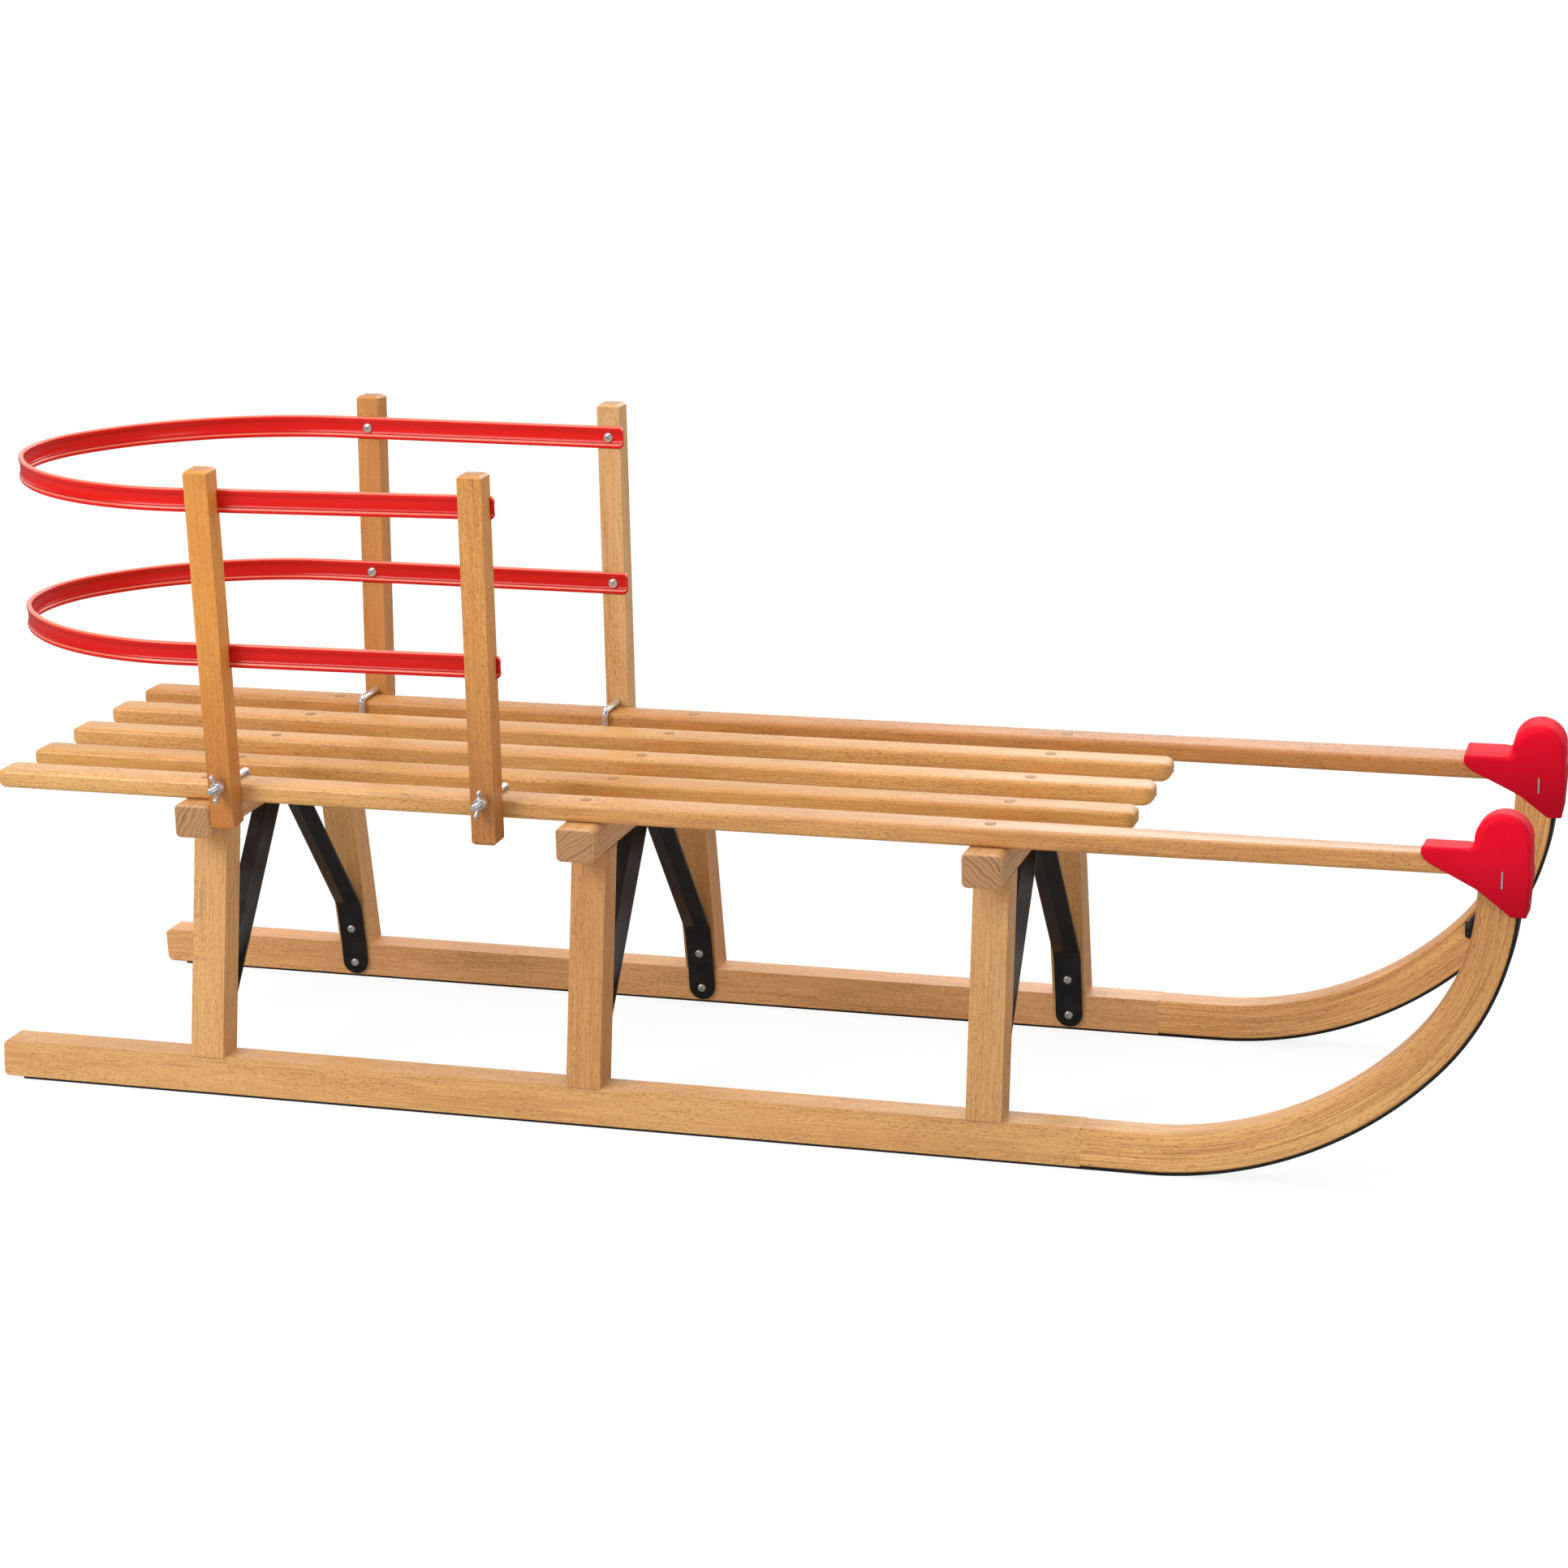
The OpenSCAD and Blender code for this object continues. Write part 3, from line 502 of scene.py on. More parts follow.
def laminated(name, seed, tint, high):
    """Bent beech veneers; grain is (along the bend, across, depth). high is the colour
    factor reached up the bend."""
    net = Surface(name)
    at = net.grain()
    along, _, depth = net.split(at)
    at = net.vmath("ADD", at, (seed * 91.0, seed * 7.0, 0.0))
    # uneven layers
    wobble = net.noise(at, stretch=(0.02, 0.05, 0.3))
    warp = net.noise(net.combine(seed * 5.0, 0.0, net.times(depth, 0.16)), rough=0.6)
    warped = net.math("MULTIPLY_ADD", wobble, 1.3, net.math("MULTIPLY_ADD", warp, 5.0, depth))
    veneer = 2.75
    layers = net.math("DIVIDE", warped, veneer)
    phase = net.math("FRACT", layers)
    each = net.random(net.plus(net.math("FLOOR", layers), seed))
    # each veneer has its own grain
    own = net.vmath("ADD", at, net.combine(net.times(each, 700.0), net.times(each, 90.0), 0.0))
    broad = net.noise(own, stretch=(0.006, 0.05, 0.09), detail=3.0, rough=0.55)
    lines = net.noise(own, stretch=(0.016, 1.0, 1.9), detail=3.0, rough=0.7)
    flecks = net.noise(own, stretch=(0.28, 1.4, 1.9), detail=1.0)
    spots = net.noise(own, stretch=(0.11, 0.6, 0.75), shift=(5.1, 2.2, 8.4), detail=1.0)
    fleck = net.ramp(flecks, span=(0.59, 0.69))
    tone = net.plus(net.ramp(broad, span=(0.3, 0.7), to=(0.0, 0.45)),
                    net.ramp(lines, span=(0.34, 0.68), to=(-0.36, 0.86)))
    tone = net.plus(tone, net.ramp(each, span=(0.0, 1.0), to=(-0.10, 0.22), smooth=False))
    colour = net.mix((0.70, 0.435, 0.185), over=(0.40, 0.195, 0.070),
                     by=net.times(tone, 0.8, clamp=True))
    # glue lines between veneers, seen on the sides only
    facing = net.math("ABSOLUTE", net.split(net.normal())[1])
    side = net.ramp(facing, span=(0.45, 0.85))
    inside = net.times(net.ramp(depth, span=(2.6, 4.2)), net.ramp(depth, span=(27.4, 25.6)))
    glue = net.plus(net.ramp(phase, span=(0.13, 0.02)), net.ramp(phase, span=(0.87, 0.98)))
    patch = net.noise(at, stretch=(0.03, 0.3, 0.8))
    glue = net.times(net.times(glue, side),
                     net.ramp(patch, span=(0.35, 0.68), to=(0.05, 0.8)))
    pale = net.times(net.ramp(phase, span=(0.30, 0.45)), net.ramp(phase, span=(0.70, 0.55)))
    pale = net.times(net.times(pale, side),
                     net.ramp(each, span=(0.45, 0.95), to=(0.0, 0.42)))
    colour = net.mix(colour, over=(0.80, 0.53, 0.24), by=net.times(pale, inside))
    colour = net.mix(colour, over=(0.32, 0.15, 0.055),
                     by=net.times(net.times(glue, inside), 0.55))
    # thin pale edges of some veneers, and brown dashes along them
    edge = net.plus(net.ramp(phase, span=(0.20, 0.05)), net.ramp(phase, span=(0.82, 0.95)))
    edge = net.times(net.times(edge, side), inside)
    long = net.noise(at, stretch=(0.008, 0.1, 0.35))
    some = net.times(net.ramp(long, span=(0.42, 0.56)), net.ramp(each, span=(0.2, 0.5)))
    colour = net.mix(colour, over=(0.90, 0.64, 0.32),
                     by=net.times(net.times(edge, some), 0.62))
    colour = net.mix(colour, over=(0.30, 0.12, 0.034), by=net.times(fleck, 0.66))
    dash = net.noise(at, stretch=(0.22, 0.3, 0.5), shift=(2.2, 6.1, 3.4), detail=1.0)
    dash = net.times(net.ramp(dash, span=(0.60, 0.67)),
                     net.times(edge, net.ramp(each, span=(0.9, 0.4))))
    colour = net.mix(colour, over=(0.36, 0.115, 0.025), by=net.times(dash, 0.85))
    colour = net.mix(colour, over=(0.46, 0.165, 0.035),
                     by=net.times(net.ramp(spots, span=(0.70, 0.76)), 0.75))
    colour = net.multiply(colour, tint)
    colour = net.mix(colour, over=net.multiply(colour, high),
                     by=net.ramp(along, span=(120.0, 300.0)))
    rough = net.plus(net.ramp(lines, span=(0.3, 0.7), to=(0.37, 0.48)), net.times(fleck, 0.1))
    height = net.minus(net.times(lines, 0.5), net.times(fleck, 0.6))
    height = net.minus(height, net.times(glue, 0.5))
    return net.set(Base_Color=colour, Roughness=rough,
                   Normal=net.bump(height, strength=0.35, distance=0.00018),
                   Specular_IOR_Level=0.45, Coat_Weight=0.06, Coat_Roughness=0.25)


def cap_plastic():
    net = Surface("red_moulded_cap")
    red = (0.61, 0.0015, 0.017)
    texture = 1.15
    at = net.coords_mm()
    flow = net.noise(at, stretch=(0.02, 0.03, 0.03), detail=3.0)
    fine = net.noise(at, scale=texture, rough=0.6)
    grit = net.noise(at, scale=texture * 2.7, detail=1.0)
    scuff = net.noise(at, stretch=(0.35, 0.05, 1.4), detail=3.0, rough=0.6)
    colour = net.mix(red, over=(0.55, 0.001, 0.014), by=net.ramp(flow, span=(0.3, 0.7)))
    colour = net.mix(colour, over=tuple(c * 1.25 + 0.01 for c in red),
                     by=net.times(net.ramp(fine, span=(0.35, 0.75)), 0.20))
    colour = net.mix(colour, over=tuple(c * 1.2 + 0.03 for c in red),
                     by=net.ramp(scuff, span=(0.70, 0.80), to=(0.0, 0.22)))
    # painted shading: darker foot and lighter crown, as light from above would give; the span is a
    # height in metres
    lift = net.ramp(net.dot(net.coords(), UP), span=(0.190, 0.262), to=(0.70, 1.28))
    colour = net.multiply(colour, net.combine(lift, lift, lift))
    rough = net.plus(net.ramp(fine, span=(0.3, 0.7), to=(0.47, 0.59)),
                     net.ramp(scuff, span=(0.66, 0.8), to=(0.0, 0.12)))
    height = net.plus(net.times(fine, 0.7), net.times(grit, 0.5))
    return net.set(Base_Color=colour, Roughness=rough,
                   Normal=net.bump(height, strength=0.40, distance=0.00022),
                   Specular_IOR_Level=0.07, Coat_Weight=0.0, Coat_Roughness=0.08)


def hoop_plastic(level, bright):
    """extruded strip; grain is (along, outward, up)"""
    net = Surface("red_glossy_hoop_" + level)
    at = net.grain()
    z = net.split(at)[2]
    away = net.math("ABSOLUTE", z)
    flow = net.noise(at, stretch=(0.006, 0.0, 0.12))
    draw = net.noise(at, stretch=(0.004, 0.6, 1.6), detail=3.0, rough=0.6)
    fine = net.noise(at, scale=2.4)
    # bright scales the red down: painted shade on the lower hoop
    colour = net.mix((0.79 * bright, 0.008 * bright, 0.004),
                     over=(0.72 * bright, 0.006 * bright, 0.003),
                     by=net.ramp(flow, span=(0.3, 0.7)))
    colour = net.mix(colour, over=(0.60, 0.005, 0.004),
                     by=net.ramp(draw, span=(0.50, 0.78), to=(0.0, 0.12)))
    # painted shade: a dark line along the groove inside each rim; painted highlights: pale crests on
    # the rims
    # painted shade along the groove inside each rim
    line = net.times(net.ramp(away, span=(3.3, 4.1)), net.ramp(away, span=(5.0, 4.6)))
    colour = net.mix(colour, over=(0.36, 0.003, 0.003), by=net.times(line, 0.55))
    # painted highlight: pale lines on the top rim's crest and on the lower rim's inner slope
    painted_rim_highlight = net.math("MAXIMUM", net.ramp(z, span=(6.9, 7.9)),
                     net.times(net.ramp(z, span=(-6.3, -5.8)), net.ramp(z, span=(-4.6, -5.1))))
    painted_rim_highlight = net.times(painted_rim_highlight, net.ramp(draw, span=(0.25, 0.6), to=(1.0, 0.75)))
    colour = net.mix(colour, over=(0.96, 0.30, 0.17), by=net.times(painted_rim_highlight, 0.66))
    rough = net.plus(net.ramp(fine, span=(0.3, 0.7), to=(0.22, 0.28)),
                     net.ramp(draw, span=(0.55, 0.8), to=(0.0, 0.04)))
    return net.set(Base_Color=colour, Roughness=rough,
                   Normal=net.bump(fine, strength=0.03, distance=0.00008),
                   Specular_IOR_Level=0.34, Coat_Weight=0.12, Coat_Roughness=0.10)


def black_coat():
    net = Surface("black_powder_coat")
    at = net.coords_mm()
    peel = net.noise(at, scale=0.75)
    dust = net.noise(at, scale=0.09, detail=4.0, rough=0.6)
    fine = net.noise(at, scale=3.0, detail=1.0)
    colour = net.mix((0.0075, 0.0068, 0.006), over=(0.016, 0.0145, 0.013),
                     by=net.ramp(dust, span=(0.35, 0.75)))
    rough = net.plus(net.ramp(dust, span=(0.3, 0.7), to=(0.34, 0.46)),
                     net.ramp(fine, span=(0.3, 0.7), to=(-0.03, 0.05)))
    height = net.plus(peel, net.times(fine, 0.35))
    return net.set(Base_Color=colour, Roughness=rough,
                   Normal=net.bump(height, strength=0.30), Specular_IOR_Level=0.5)


def bright_zinc():
    net = Surface("bright_zinc")
    at = net.coords_mm()
    patch = net.node("TexVoronoi", "Color", Vector=at, Scale=0.9)
    cloud = net.noise(at, scale=0.5, detail=3.0, rough=0.6)
    brush = net.noise(at, stretch=(2.0, 9.0, 9.0))
    colour = net.mix((0.90, 0.90, 0.89), over=(0.72, 0.73, 0.75),
                     by=net.ramp(cloud, span=(0.3, 0.7)))
    colour = net.mix(colour, over=patch, by=0.12, blend="SOFT_LIGHT")
    rough = net.plus(net.ramp(cloud, span=(0.3, 0.7), to=(0.15, 0.27)),
                     net.ramp(brush, span=(0.4, 0.7), to=(0.0, 0.07)))
    return net.set(Base_Color=colour, Metallic=0.80, Roughness=rough,
                   Normal=net.bump(brush, strength=0.10, distance=0.0001))


BLACK = black_coat()
ZINC = bright_zinc()
CAP_RED = cap_plastic()
# the lower hoop gets a darker copy of the same red: painted shade
HOOP_RED = {"upper": hoop_plastic("upper", bright=0.93),
            "lower": hoop_plastic("lower", bright=0.82)}

# imported custom normals are cleared so that the modifiers decide the shading
for node in NODES.values():
    if node.data.has_custom_normals:
        bpy.context.view_layer.objects.active = node
        node.select_set(True)
        bpy.ops.mesh.customdata_custom_splitnormals_clear()
        node.select_set(False)

# -------------------------------------------------------------------- slats
# painted shading: the slats darken from rear to front, standing in for the brighter sheen on their
# rear ends; the span is in metres
PAINTED_SHADE_SPAN = (ALONG, X_MIDDLE - 0.40, X_MIDDLE + 0.48)     # metres
OUTER_PAINTED_SHADE = PAINTED_SHADE_SPAN + ((0.85, 0.75, 0.70),)
INNER_PAINTED_SHADE = PAINTED_SHADE_SPAN + ((0.97, 0.92, 0.88),)
SLATS = (  # piece, node, twist's sign, inset of the rear end, material values
    ("twisted_slat_right", "slat_outer_right", -1, 4.0,
     dict(seed=1.0, centre=(55, -30), streak=0.02, tint=(1.06, 0.96, 0.71), coat=0.34)),
    ("twisted_slat_left", "slat_outer_left", 1, 3.0,
     dict(seed=5.9, centre=(-25, 70), streak=0.01, tint=(0.90, 0.70, 0.44), coat=0.0)),
    ("eased_slat_right", "slat_inner_right", 0, 3.8,
     dict(seed=2.3, centre=(20, 60), tint=(0.93, 0.79, 0.46), coat=0.12)),
    ("eased_slat_centre", "slat_centre", 0, 2.2,
     dict(seed=3.7, centre=(-40, 45), tint=(1.03, 0.90, 0.60), coat=0.22)),
    ("eased_slat_left", "slat_inner_left", 0, 3.2,
     dict(seed=4.1, centre=(60, 25), tint=(1.0, 0.86, 0.57), coat=0.16)),
)
TWIST_START, TWIST_LENGTH = 305.0, 275.0
SLAT_EDGE = 3.3                                  # radius of the long edges


def slat(name, node, twist, inset, look):
    """an outer slat twists towards the front to meet the leaning runner; the others are
    straight, with both ends rounded"""
    (rear, right, bottom), (front, left, top) = box_mm(node)
    rear += inset
    middle_y, middle_z = (right + left) / 2, (bottom + top) / 2
    width, height = left - right, top - bottom
    end = []                                     # (distance, trims of half width and height, radius)
    for i in range(13):
        angle = math.pi / 2 * i / 12
        rise = math.sin(angle)
        end.append((7.5 * (1 - math.cos(angle)), 7.5 * (1 - rise), 4.4 * (1 - rise),
                    0.9 + 2.4 * rise))
    stations = [(rear + row[0],) + row[1:] for row in end]
    stations += [(x, 0, 0, SLAT_EDGE) for x in steps(rear + 15, front - (1 if twist else 15), 8.0)]
    if twist:
        stations.append((front, 0, 0, SLAT_EDGE))
    else:
        stations += [(front - row[0],) + row[1:] for row in reversed(end)]
    rings, grain = [], []
    for x, trim_w, trim_h, radius in stations:
        angle = twist * RUNNER_ANGLE * smoothstep((x - TWIST_START) / TWIST_LENGTH)
        cos, sin = math.cos(angle), math.sin(angle)
        loop = rounded_rect(width - 2 * trim_w, height - 2 * trim_h, radius)
        rings.append([place(x, middle_y + a * cos - b * sin, middle_z + a * sin + b * cos)
                      for a, b in loop])
        grain += [(x, a, b) for a, b in loop]
    # painted shade towards the slat's front
    fade = OUTER_PAINTED_SHADE if twist else INNER_PAINTED_SHADE
    finish(loft(name, rings, grain), wood("wood_" + node, fade=fade, **look), node)


for row in SLATS:
    slat(*row)

# ------------------------------------------------- rails, crossbeams, legs, posts
for side, seed, tint in (("left", 6.2, (1.14, 1.00, 0.90)), ("right", 7.4, (1.03, 0.94, 0.78))):
    node = "runner_rail_" + side
    set_material(soften(node, 0.0022, 4),
                 wood("wood_" + node, ALONG, UP, seed=seed, centre=(45, 60), tint=tint))


def crossbeam(end, seed, centre):
    """crossbeam with rounded long edges and eased ends"""
    node = "crossbeam_" + end
    (rear, right, bottom), (front, left, top) = box_mm(node)
    middle_x, middle_z = (rear + front) / 2, (bottom + top) / 2
    width, height = front - rear, top - bottom
    ease, plain = 2.4, 4                         # rounding of the ends, start of the plain part
    rounding = []
    for i in range(9):
        angle = math.pi / 2 * i / 8
        rounding.append((ease * (1 - math.cos(angle)), ease * (1 - math.sin(angle))))
    stations = [(right + t, trim) for t, trim in rounding]
    stations += [(right + plain + (left - right - 2 * plain) * i / 12, 0.0) for i in range(13)]
    stations += [(left - t, trim) for t, trim in reversed(rounding)]
    rings = []
    for y, trim in stations:
        loop = rounded_rect(width - 2 * trim, height - 2 * trim, 3.8 - 0.9 * trim, 6)
        rings.append([place(middle_x + a, y, middle_z + b) for a, b in loop])
    material = wood("wood_" + node, ACROSS, ALONG, seed=seed, centre=centre, ring=0.42,
                    deep=(0.47, 0.245, 0.10), tint=(0.97, 0.90, 0.82))
    finish(loft("eased_bridge_" + end, rings), material, node)


crossbeam("rear", seed=8.1, centre=(30, 22))
crossbeam("middle", seed=9.6, centre=(-26, 34))
crossbeam("front", seed=10.3, centre=(36, -18))

seed = 11.0                                      # runs on through the legs and the posts
for end, tint in (("rear", (1.02, 0.92, 0.75)), ("middle", (0.88, 0.71, 0.54)),
                  ("front", (0.93, 0.84, 0.71))):
    for side, sign in SIDES:
        seed += 1.7
        node = "leg_%s_%s" % (end, side)
        set_material(soften(node, 0.0012),
                     wood("wood_" + node, (0, -sign * LEG_LEAN, 1), ALONG, seed=seed,
                          centre=(50 - seed, 45 + 2 * seed), tint=tint))

POST_TINT = {("rear", "left"): (0.90, 0.68, 0.39), ("rear", "right"): (1.16, 0.87, 0.38),
             ("front", "left"): (1.08, 1.10, 1.08), ("front", "right"): (1.03, 0.82, 0.48)}
POST_FADE = {"left": (1, 1, 1), "right": (0.70, 0.60, 0.58)}    # colour factor at the foot
for end, lean in (("rear", math.tan(math.radians(2.64))), ("front", 0.0)):
    for side, sign in SIDES:
        seed += 1.3
        node = "post_%s_%s" % (end, side)
        set_material(soften(node, 0.0009),
                     wood("wood_" + node, (0, sign * lean, 1), ALONG, seed=seed,
                          centre=(40, 60 - seed), red=0.12, streak=0.035,
                          fade=(UP, 0.37, 0.21, POST_FADE[side]),
                          tint=POST_TINT[(end, side)]))

# ---------------------------------------------------- laminated runner bows
# The underside is flat up to BEND_X, then follows a wide arc and a tighter one.
BEND_X = 398.75
WIDE_RADIUS, WIDE_ANGLE = 266.4, math.radians(46.5)
TIGHT_RADIUS, TIGHT_ANGLE = 179.3, math.radians(41.1)
BEND_ANGLE = WIDE_ANGLE + TIGHT_ANGLE
TIGHT_X = BEND_X + (WIDE_RADIUS - TIGHT_RADIUS) * math.sin(WIDE_ANGLE)
TIGHT_Z = WIDE_RADIUS - (WIDE_RADIUS - TIGHT_RADIUS) * math.cos(WIDE_ANGLE)
BOW_BOTTOM, BOW_TOP = 2.02, 28.4                 # depths in from the bend's outer line
BOW_STEPS = 120


def bend_point(angle, depth):
    if angle <= WIDE_ANGLE:
        x, z, radius = BEND_X, WIDE_RADIUS, WIDE_RADIUS - depth
    else:
        x, z, radius = TIGHT_X, TIGHT_Z, TIGHT_RADIUS - depth
    return x + radius * math.sin(angle), z - radius * math.cos(angle)


def bend_length(angle):
    """length at mid depth"""
    return (min(angle, WIDE_ANGLE) * (WIDE_RADIUS - 15)
            + max(0.0, angle - WIDE_ANGLE) * (TIGHT_RADIUS - 15))


def tip_point(depth, top, share):
    """straight on from the end of the bend, a share of the way up to the flat top"""
    x, z = bend_point(BEND_ANGLE, depth)
    rise = (top - z) * share
    return x + rise / math.tan(BEND_ANGLE), z + rise


def runner_bow(side, sign, tint, high):
    node = "runner_bow_" + side
    (rear, _, _), (_, _, top) = box_mm(node)
    middle = (BOW_BOTTOM + BOW_TOP) / 2
    loop = rounded_rect(2 * RUNNER_HALF, BOW_TOP - BOW_BOTTOM, 2.2)
    rings, grain = [], []

    def station(length, line):
        """line gives (x, z) at a depth"""
        ring = []
        for a, b in loop:
            x, z = line(middle + b)
            ring.append(place(x, sign * (runner_y(z) + a), z))
            grain.append((length, a, middle + b))
        rings.append(ring)

    for i in range(4):
        x = rear + (BEND_X - rear) * i / 4
        station(x - BEND_X, lambda depth: (x, depth))
    for i in range(BOW_STEPS + 1):
        angle = BEND_ANGLE * i / BOW_STEPS
        station(bend_length(angle), lambda depth: bend_point(angle, depth))
    for i in (1, 2, 3):
        station(bend_length(BEND_ANGLE) + i * 5, lambda depth: tip_point(depth, top, i / 3))
    piece = loft("laminated_bow_" + side, rings, grain)
    finish(piece, laminated("veneers_" + side, 3.0 + sign, tint, high),
           node)


runner_bow("left", 1, tint=(1.27, 1.08, 0.88), high=(0.86, 0.82, 0.78))
runner_bow("right", -1, tint=(1.12, 1.0, 0.80), high=(0.78, 0.70, 0.64))

for side, _ in SIDES:
    set_material(soften("steel_strip_" + side, 0.0003, 2), BLACK)

# ------------------------------------------------------------------- braces
STRAP = 2.5                                      # thickness
STRAP_HALF = 10.0                                # half the width
KNEE_Z, TAB_Z = 62.0, 3.5
RUNNER_GAP, LEG_GAP = 0.1, 0.15                  # clearances behind the strap
CREASE = 2.6                                     # depth of the trough along the strap
CREASE_EASE = 12.0
STRAP_COLUMNS = (-10, -9.2, -6, -3, -1.0, 0, 1.0, 3, 6, 9.2, 10)


def brace_path():
    """the strap's middle line from the left tab's round end up to the centre, as (y, z)"""
    top = BEAM_Z - RUNNER_GAP - STRAP / 2
    corners = [Vector((runner_inner_y(TAB_Z) - RUNNER_GAP - STRAP / 2, TAB_Z)),
               Vector((leg_inner_y(28.4) - LEG_GAP - STRAP / 2, 28.4)),
               Vector((leg_inner_y(KNEE_Z) - 0.3 - STRAP / 2, KNEE_Z)),
               Vector((18.0, top)), Vector((0.0, top))]
    line = corners[:2]
    for before, corner, after in zip(corners[1:], corners[2:], corners[3:]):
        start = corner + (before - corner).normalized() * 5.0
        stop = corner + (after - corner).normalized() * 5.0
        for i in range(9):
            t = i / 8
            line.append(start * (1 - t) ** 2 + corner * 2 * t * (1 - t) + stop * t ** 2)
    line.append(corners[-1])
    dense = [line[0]]
    for start, stop in zip(line, line[1:]):
        pieces = max(1, int((stop - start).length / 1.6))
        dense += [start.lerp(stop, k / pieces) for k in range(1, pieces + 1)]
    return dense


def brace(end):
    path = brace_path()
    path += [Vector((-p.x, p.y)) for p in path[-2::-1]]
    lengths = [0.0]
    for start, stop in zip(path, path[1:]):
        lengths.append(lengths[-1] + (stop - start).length)
    total = lengths[-1]
    knee = (path[0] - Vector((leg_inner_y(KNEE_Z) - 1.5, KNEE_Z))).length
    top_flat = total / 2 - 18.0
    # close stations round the tab's end, then even ones
    stations = [STRAP_HALF * (1 - math.cos(math.pi / 2 * k / 9)) for k in range(10)]
    stations += steps(12.0, total / 2, 2.0)
    stations.append(total / 2)
    stations += [total - s for s in reversed(stations[:-1])]

    def at(length):
        """point and normal at a length along the path"""
        i = 0
        while i < len(lengths) - 2 and lengths[i + 1] < length:
            i += 1
        share = (length - lengths[i]) / max(1e-9, lengths[i + 1] - lengths[i])
        point = path[i].lerp(path[i + 1], min(1.0, max(0.0, share)))
        along = (path[min(len(path) - 1, i + 2)] - path[max(0, i - 1)]).normalized()
        return point, Vector((along.y, -along.x))

    rings = []
    for length in stations:
        point, normal = at(length)
        tail = min(length, total - length)
        half = STRAP_HALF
        if tail < STRAP_HALF:
            half = math.sqrt(max(0.0, STRAP_HALF ** 2 - (STRAP_HALF - tail) ** 2))
        half = max(half, 1.2)
        trough = 0.0
        if knee < tail < top_flat:
            trough = CREASE * smoothstep(min(1.0, (tail - knee) / CREASE_EASE)
                                         * min(1.0, (top_flat - tail) / CREASE_EASE))

        def row(lift):
            verts = []
            for column in STRAP_COLUMNS:
                spot = point + normal * (lift - trough * (1 - abs(column) / STRAP_HALF))
                verts.append(Vector((BEAM_X[end] + column * half / STRAP_HALF * MM,
                                     spot.x * MM, spot.y * MM)))
            return verts

        rings.append(row(STRAP / 2) + row(-STRAP / 2)[::-1])
    piece = loft("strap_brace_" + end, rings)
    add_bevel(piece, 0.0005, 2)
    apply_modifiers(piece)
    finish(piece, BLACK, "brace_" + end, crease=24)


for end in BEAM_X:
    brace(end)

# ------------------------------------------------------------------- screws
PAN_PROFILE = (  # radius and height, as shares of the head's
    (0.93, 0.0), (1, 0.10), (0.995, 0.28), (0.95, 0.52), (0.84, 0.75), (0.66, 0.90),
    (0.40, 0.98), (0, 1))


def pan_screw(name, head, height, shank, length, slot_width, slot_length, slot_depth):
    """cross-slot pan head; head and shank are radii, local Z points out of the head,
    whose seat is at z 0"""
    profile = [(0, -length), (shank * 0.5, -length), (shank, -length + shank * 0.8),
               (shank, -0.05 * height)]
    profile += [(head * r, height * z) for r, z in PAN_PROFILE]
    piece = revolve(name, profile, 32)
    for crosswise in (False, True):
        verts = []
        for z, share in ((height - slot_depth, 0.62), (height + 1, 1.0)):  # shorter at the floor
            a, b = slot_width, slot_length * share
            if crosswise:
                a, b = b, a
            verts += [(x * a / 2 * MM, y * b / 2 * MM, z * MM)
                      for x, y in ((-1, -1), (1, -1), (1, 1), (-1, 1))]
        faces = [(0, 3, 2, 1), (4, 5, 6, 7), (0, 1, 5, 4), (1, 2, 6, 5), (2, 3, 7, 6),
                 (3, 0, 4, 7)]
        boolean(piece, new_piece("cut", verts, faces, smooth=False), "DIFFERENCE")
    return take_mesh(piece)


small_screw = pan_screw("pan_small", head=3.25, height=1.9, shank=1.7, length=12,
                        slot_width=0.85, slot_length=3.4, slot_depth=1.1)
big_screw = pan_screw("pan_big", head=3.75, height=2.5, shank=1.7, length=12,
                      slot_width=0.95, slot_length=4.0, slot_depth=1.4)
tiny_screw = pan_screw("pan_tiny", head=2.6, height=1.5, shank=1.35, length=10,
                       slot_width=0.7, slot_length=2.6, slot_depth=0.8)

LEG_SCREW_Z, RUNNER_SCREW_Z = 42.0, 13.0
BRACE_SCREWS = (  # y, z, tilt
    (leg_inner_y(LEG_SCREW_Z) - LEG_GAP - STRAP, LEG_SCREW_Z, LEG_ANGLE),
    (runner_inner_y(RUNNER_SCREW_Z) - RUNNER_GAP - STRAP, RUNNER_SCREW_Z, RUNNER_ANGLE))
screw_number = count(1)                          # gives every head its own turn, in degrees
parts = []
for x in BEAM_X.values():
    for _, sign in SIDES:
        for y, z, tilt in BRACE_SCREWS:
            seat = look_in(sign, tilt, Vector((x, sign * y * MM, z * MM)))
            parts.append((small_screw, turned(seat, 17 + 41 * next(screw_number))))
    for _, sign in SIDES:
        origin = Vector((x, sign * 10 * MM, (BEAM_Z - RUNNER_GAP - STRAP) * MM))
        seat = axes((1, 0, 0), (0, -1, 0), (0, 0, -1), origin)
        parts.append((small_screw, turned(seat, 30 + 37 * next(screw_number))))
finish(join("brace_pan_screws", parts), ZINC, "brace_screws", crease=35)

# ------------------------------------------------------------- backrest hoops
# Each arm runs straight, closing in towards the front; the back is a wide arc
# between two corner arcs. Angles are in radians.
ARM_X = -264.5                                   # where arm_y is measured
HOOPS = {
    "upper": dict(slope=math.radians(2.75), arm_y=147.5, back_radius=105.2,
                  back_angle=math.pi - math.radians(27.0)),
    "lower": dict(slope=math.radians(1.3), arm_y=142.5, back_radius=105.5,
                  back_angle=math.pi - math.radians(32.0)),
}
HOOP_Z = {level: centre_of(level + "_hoop").z / MM for level in HOOPS}


def arm_y(level, x):
    hoop = HOOPS[level]
    return hoop["arm_y"] - (x - ARM_X) * math.tan(hoop["slope"])


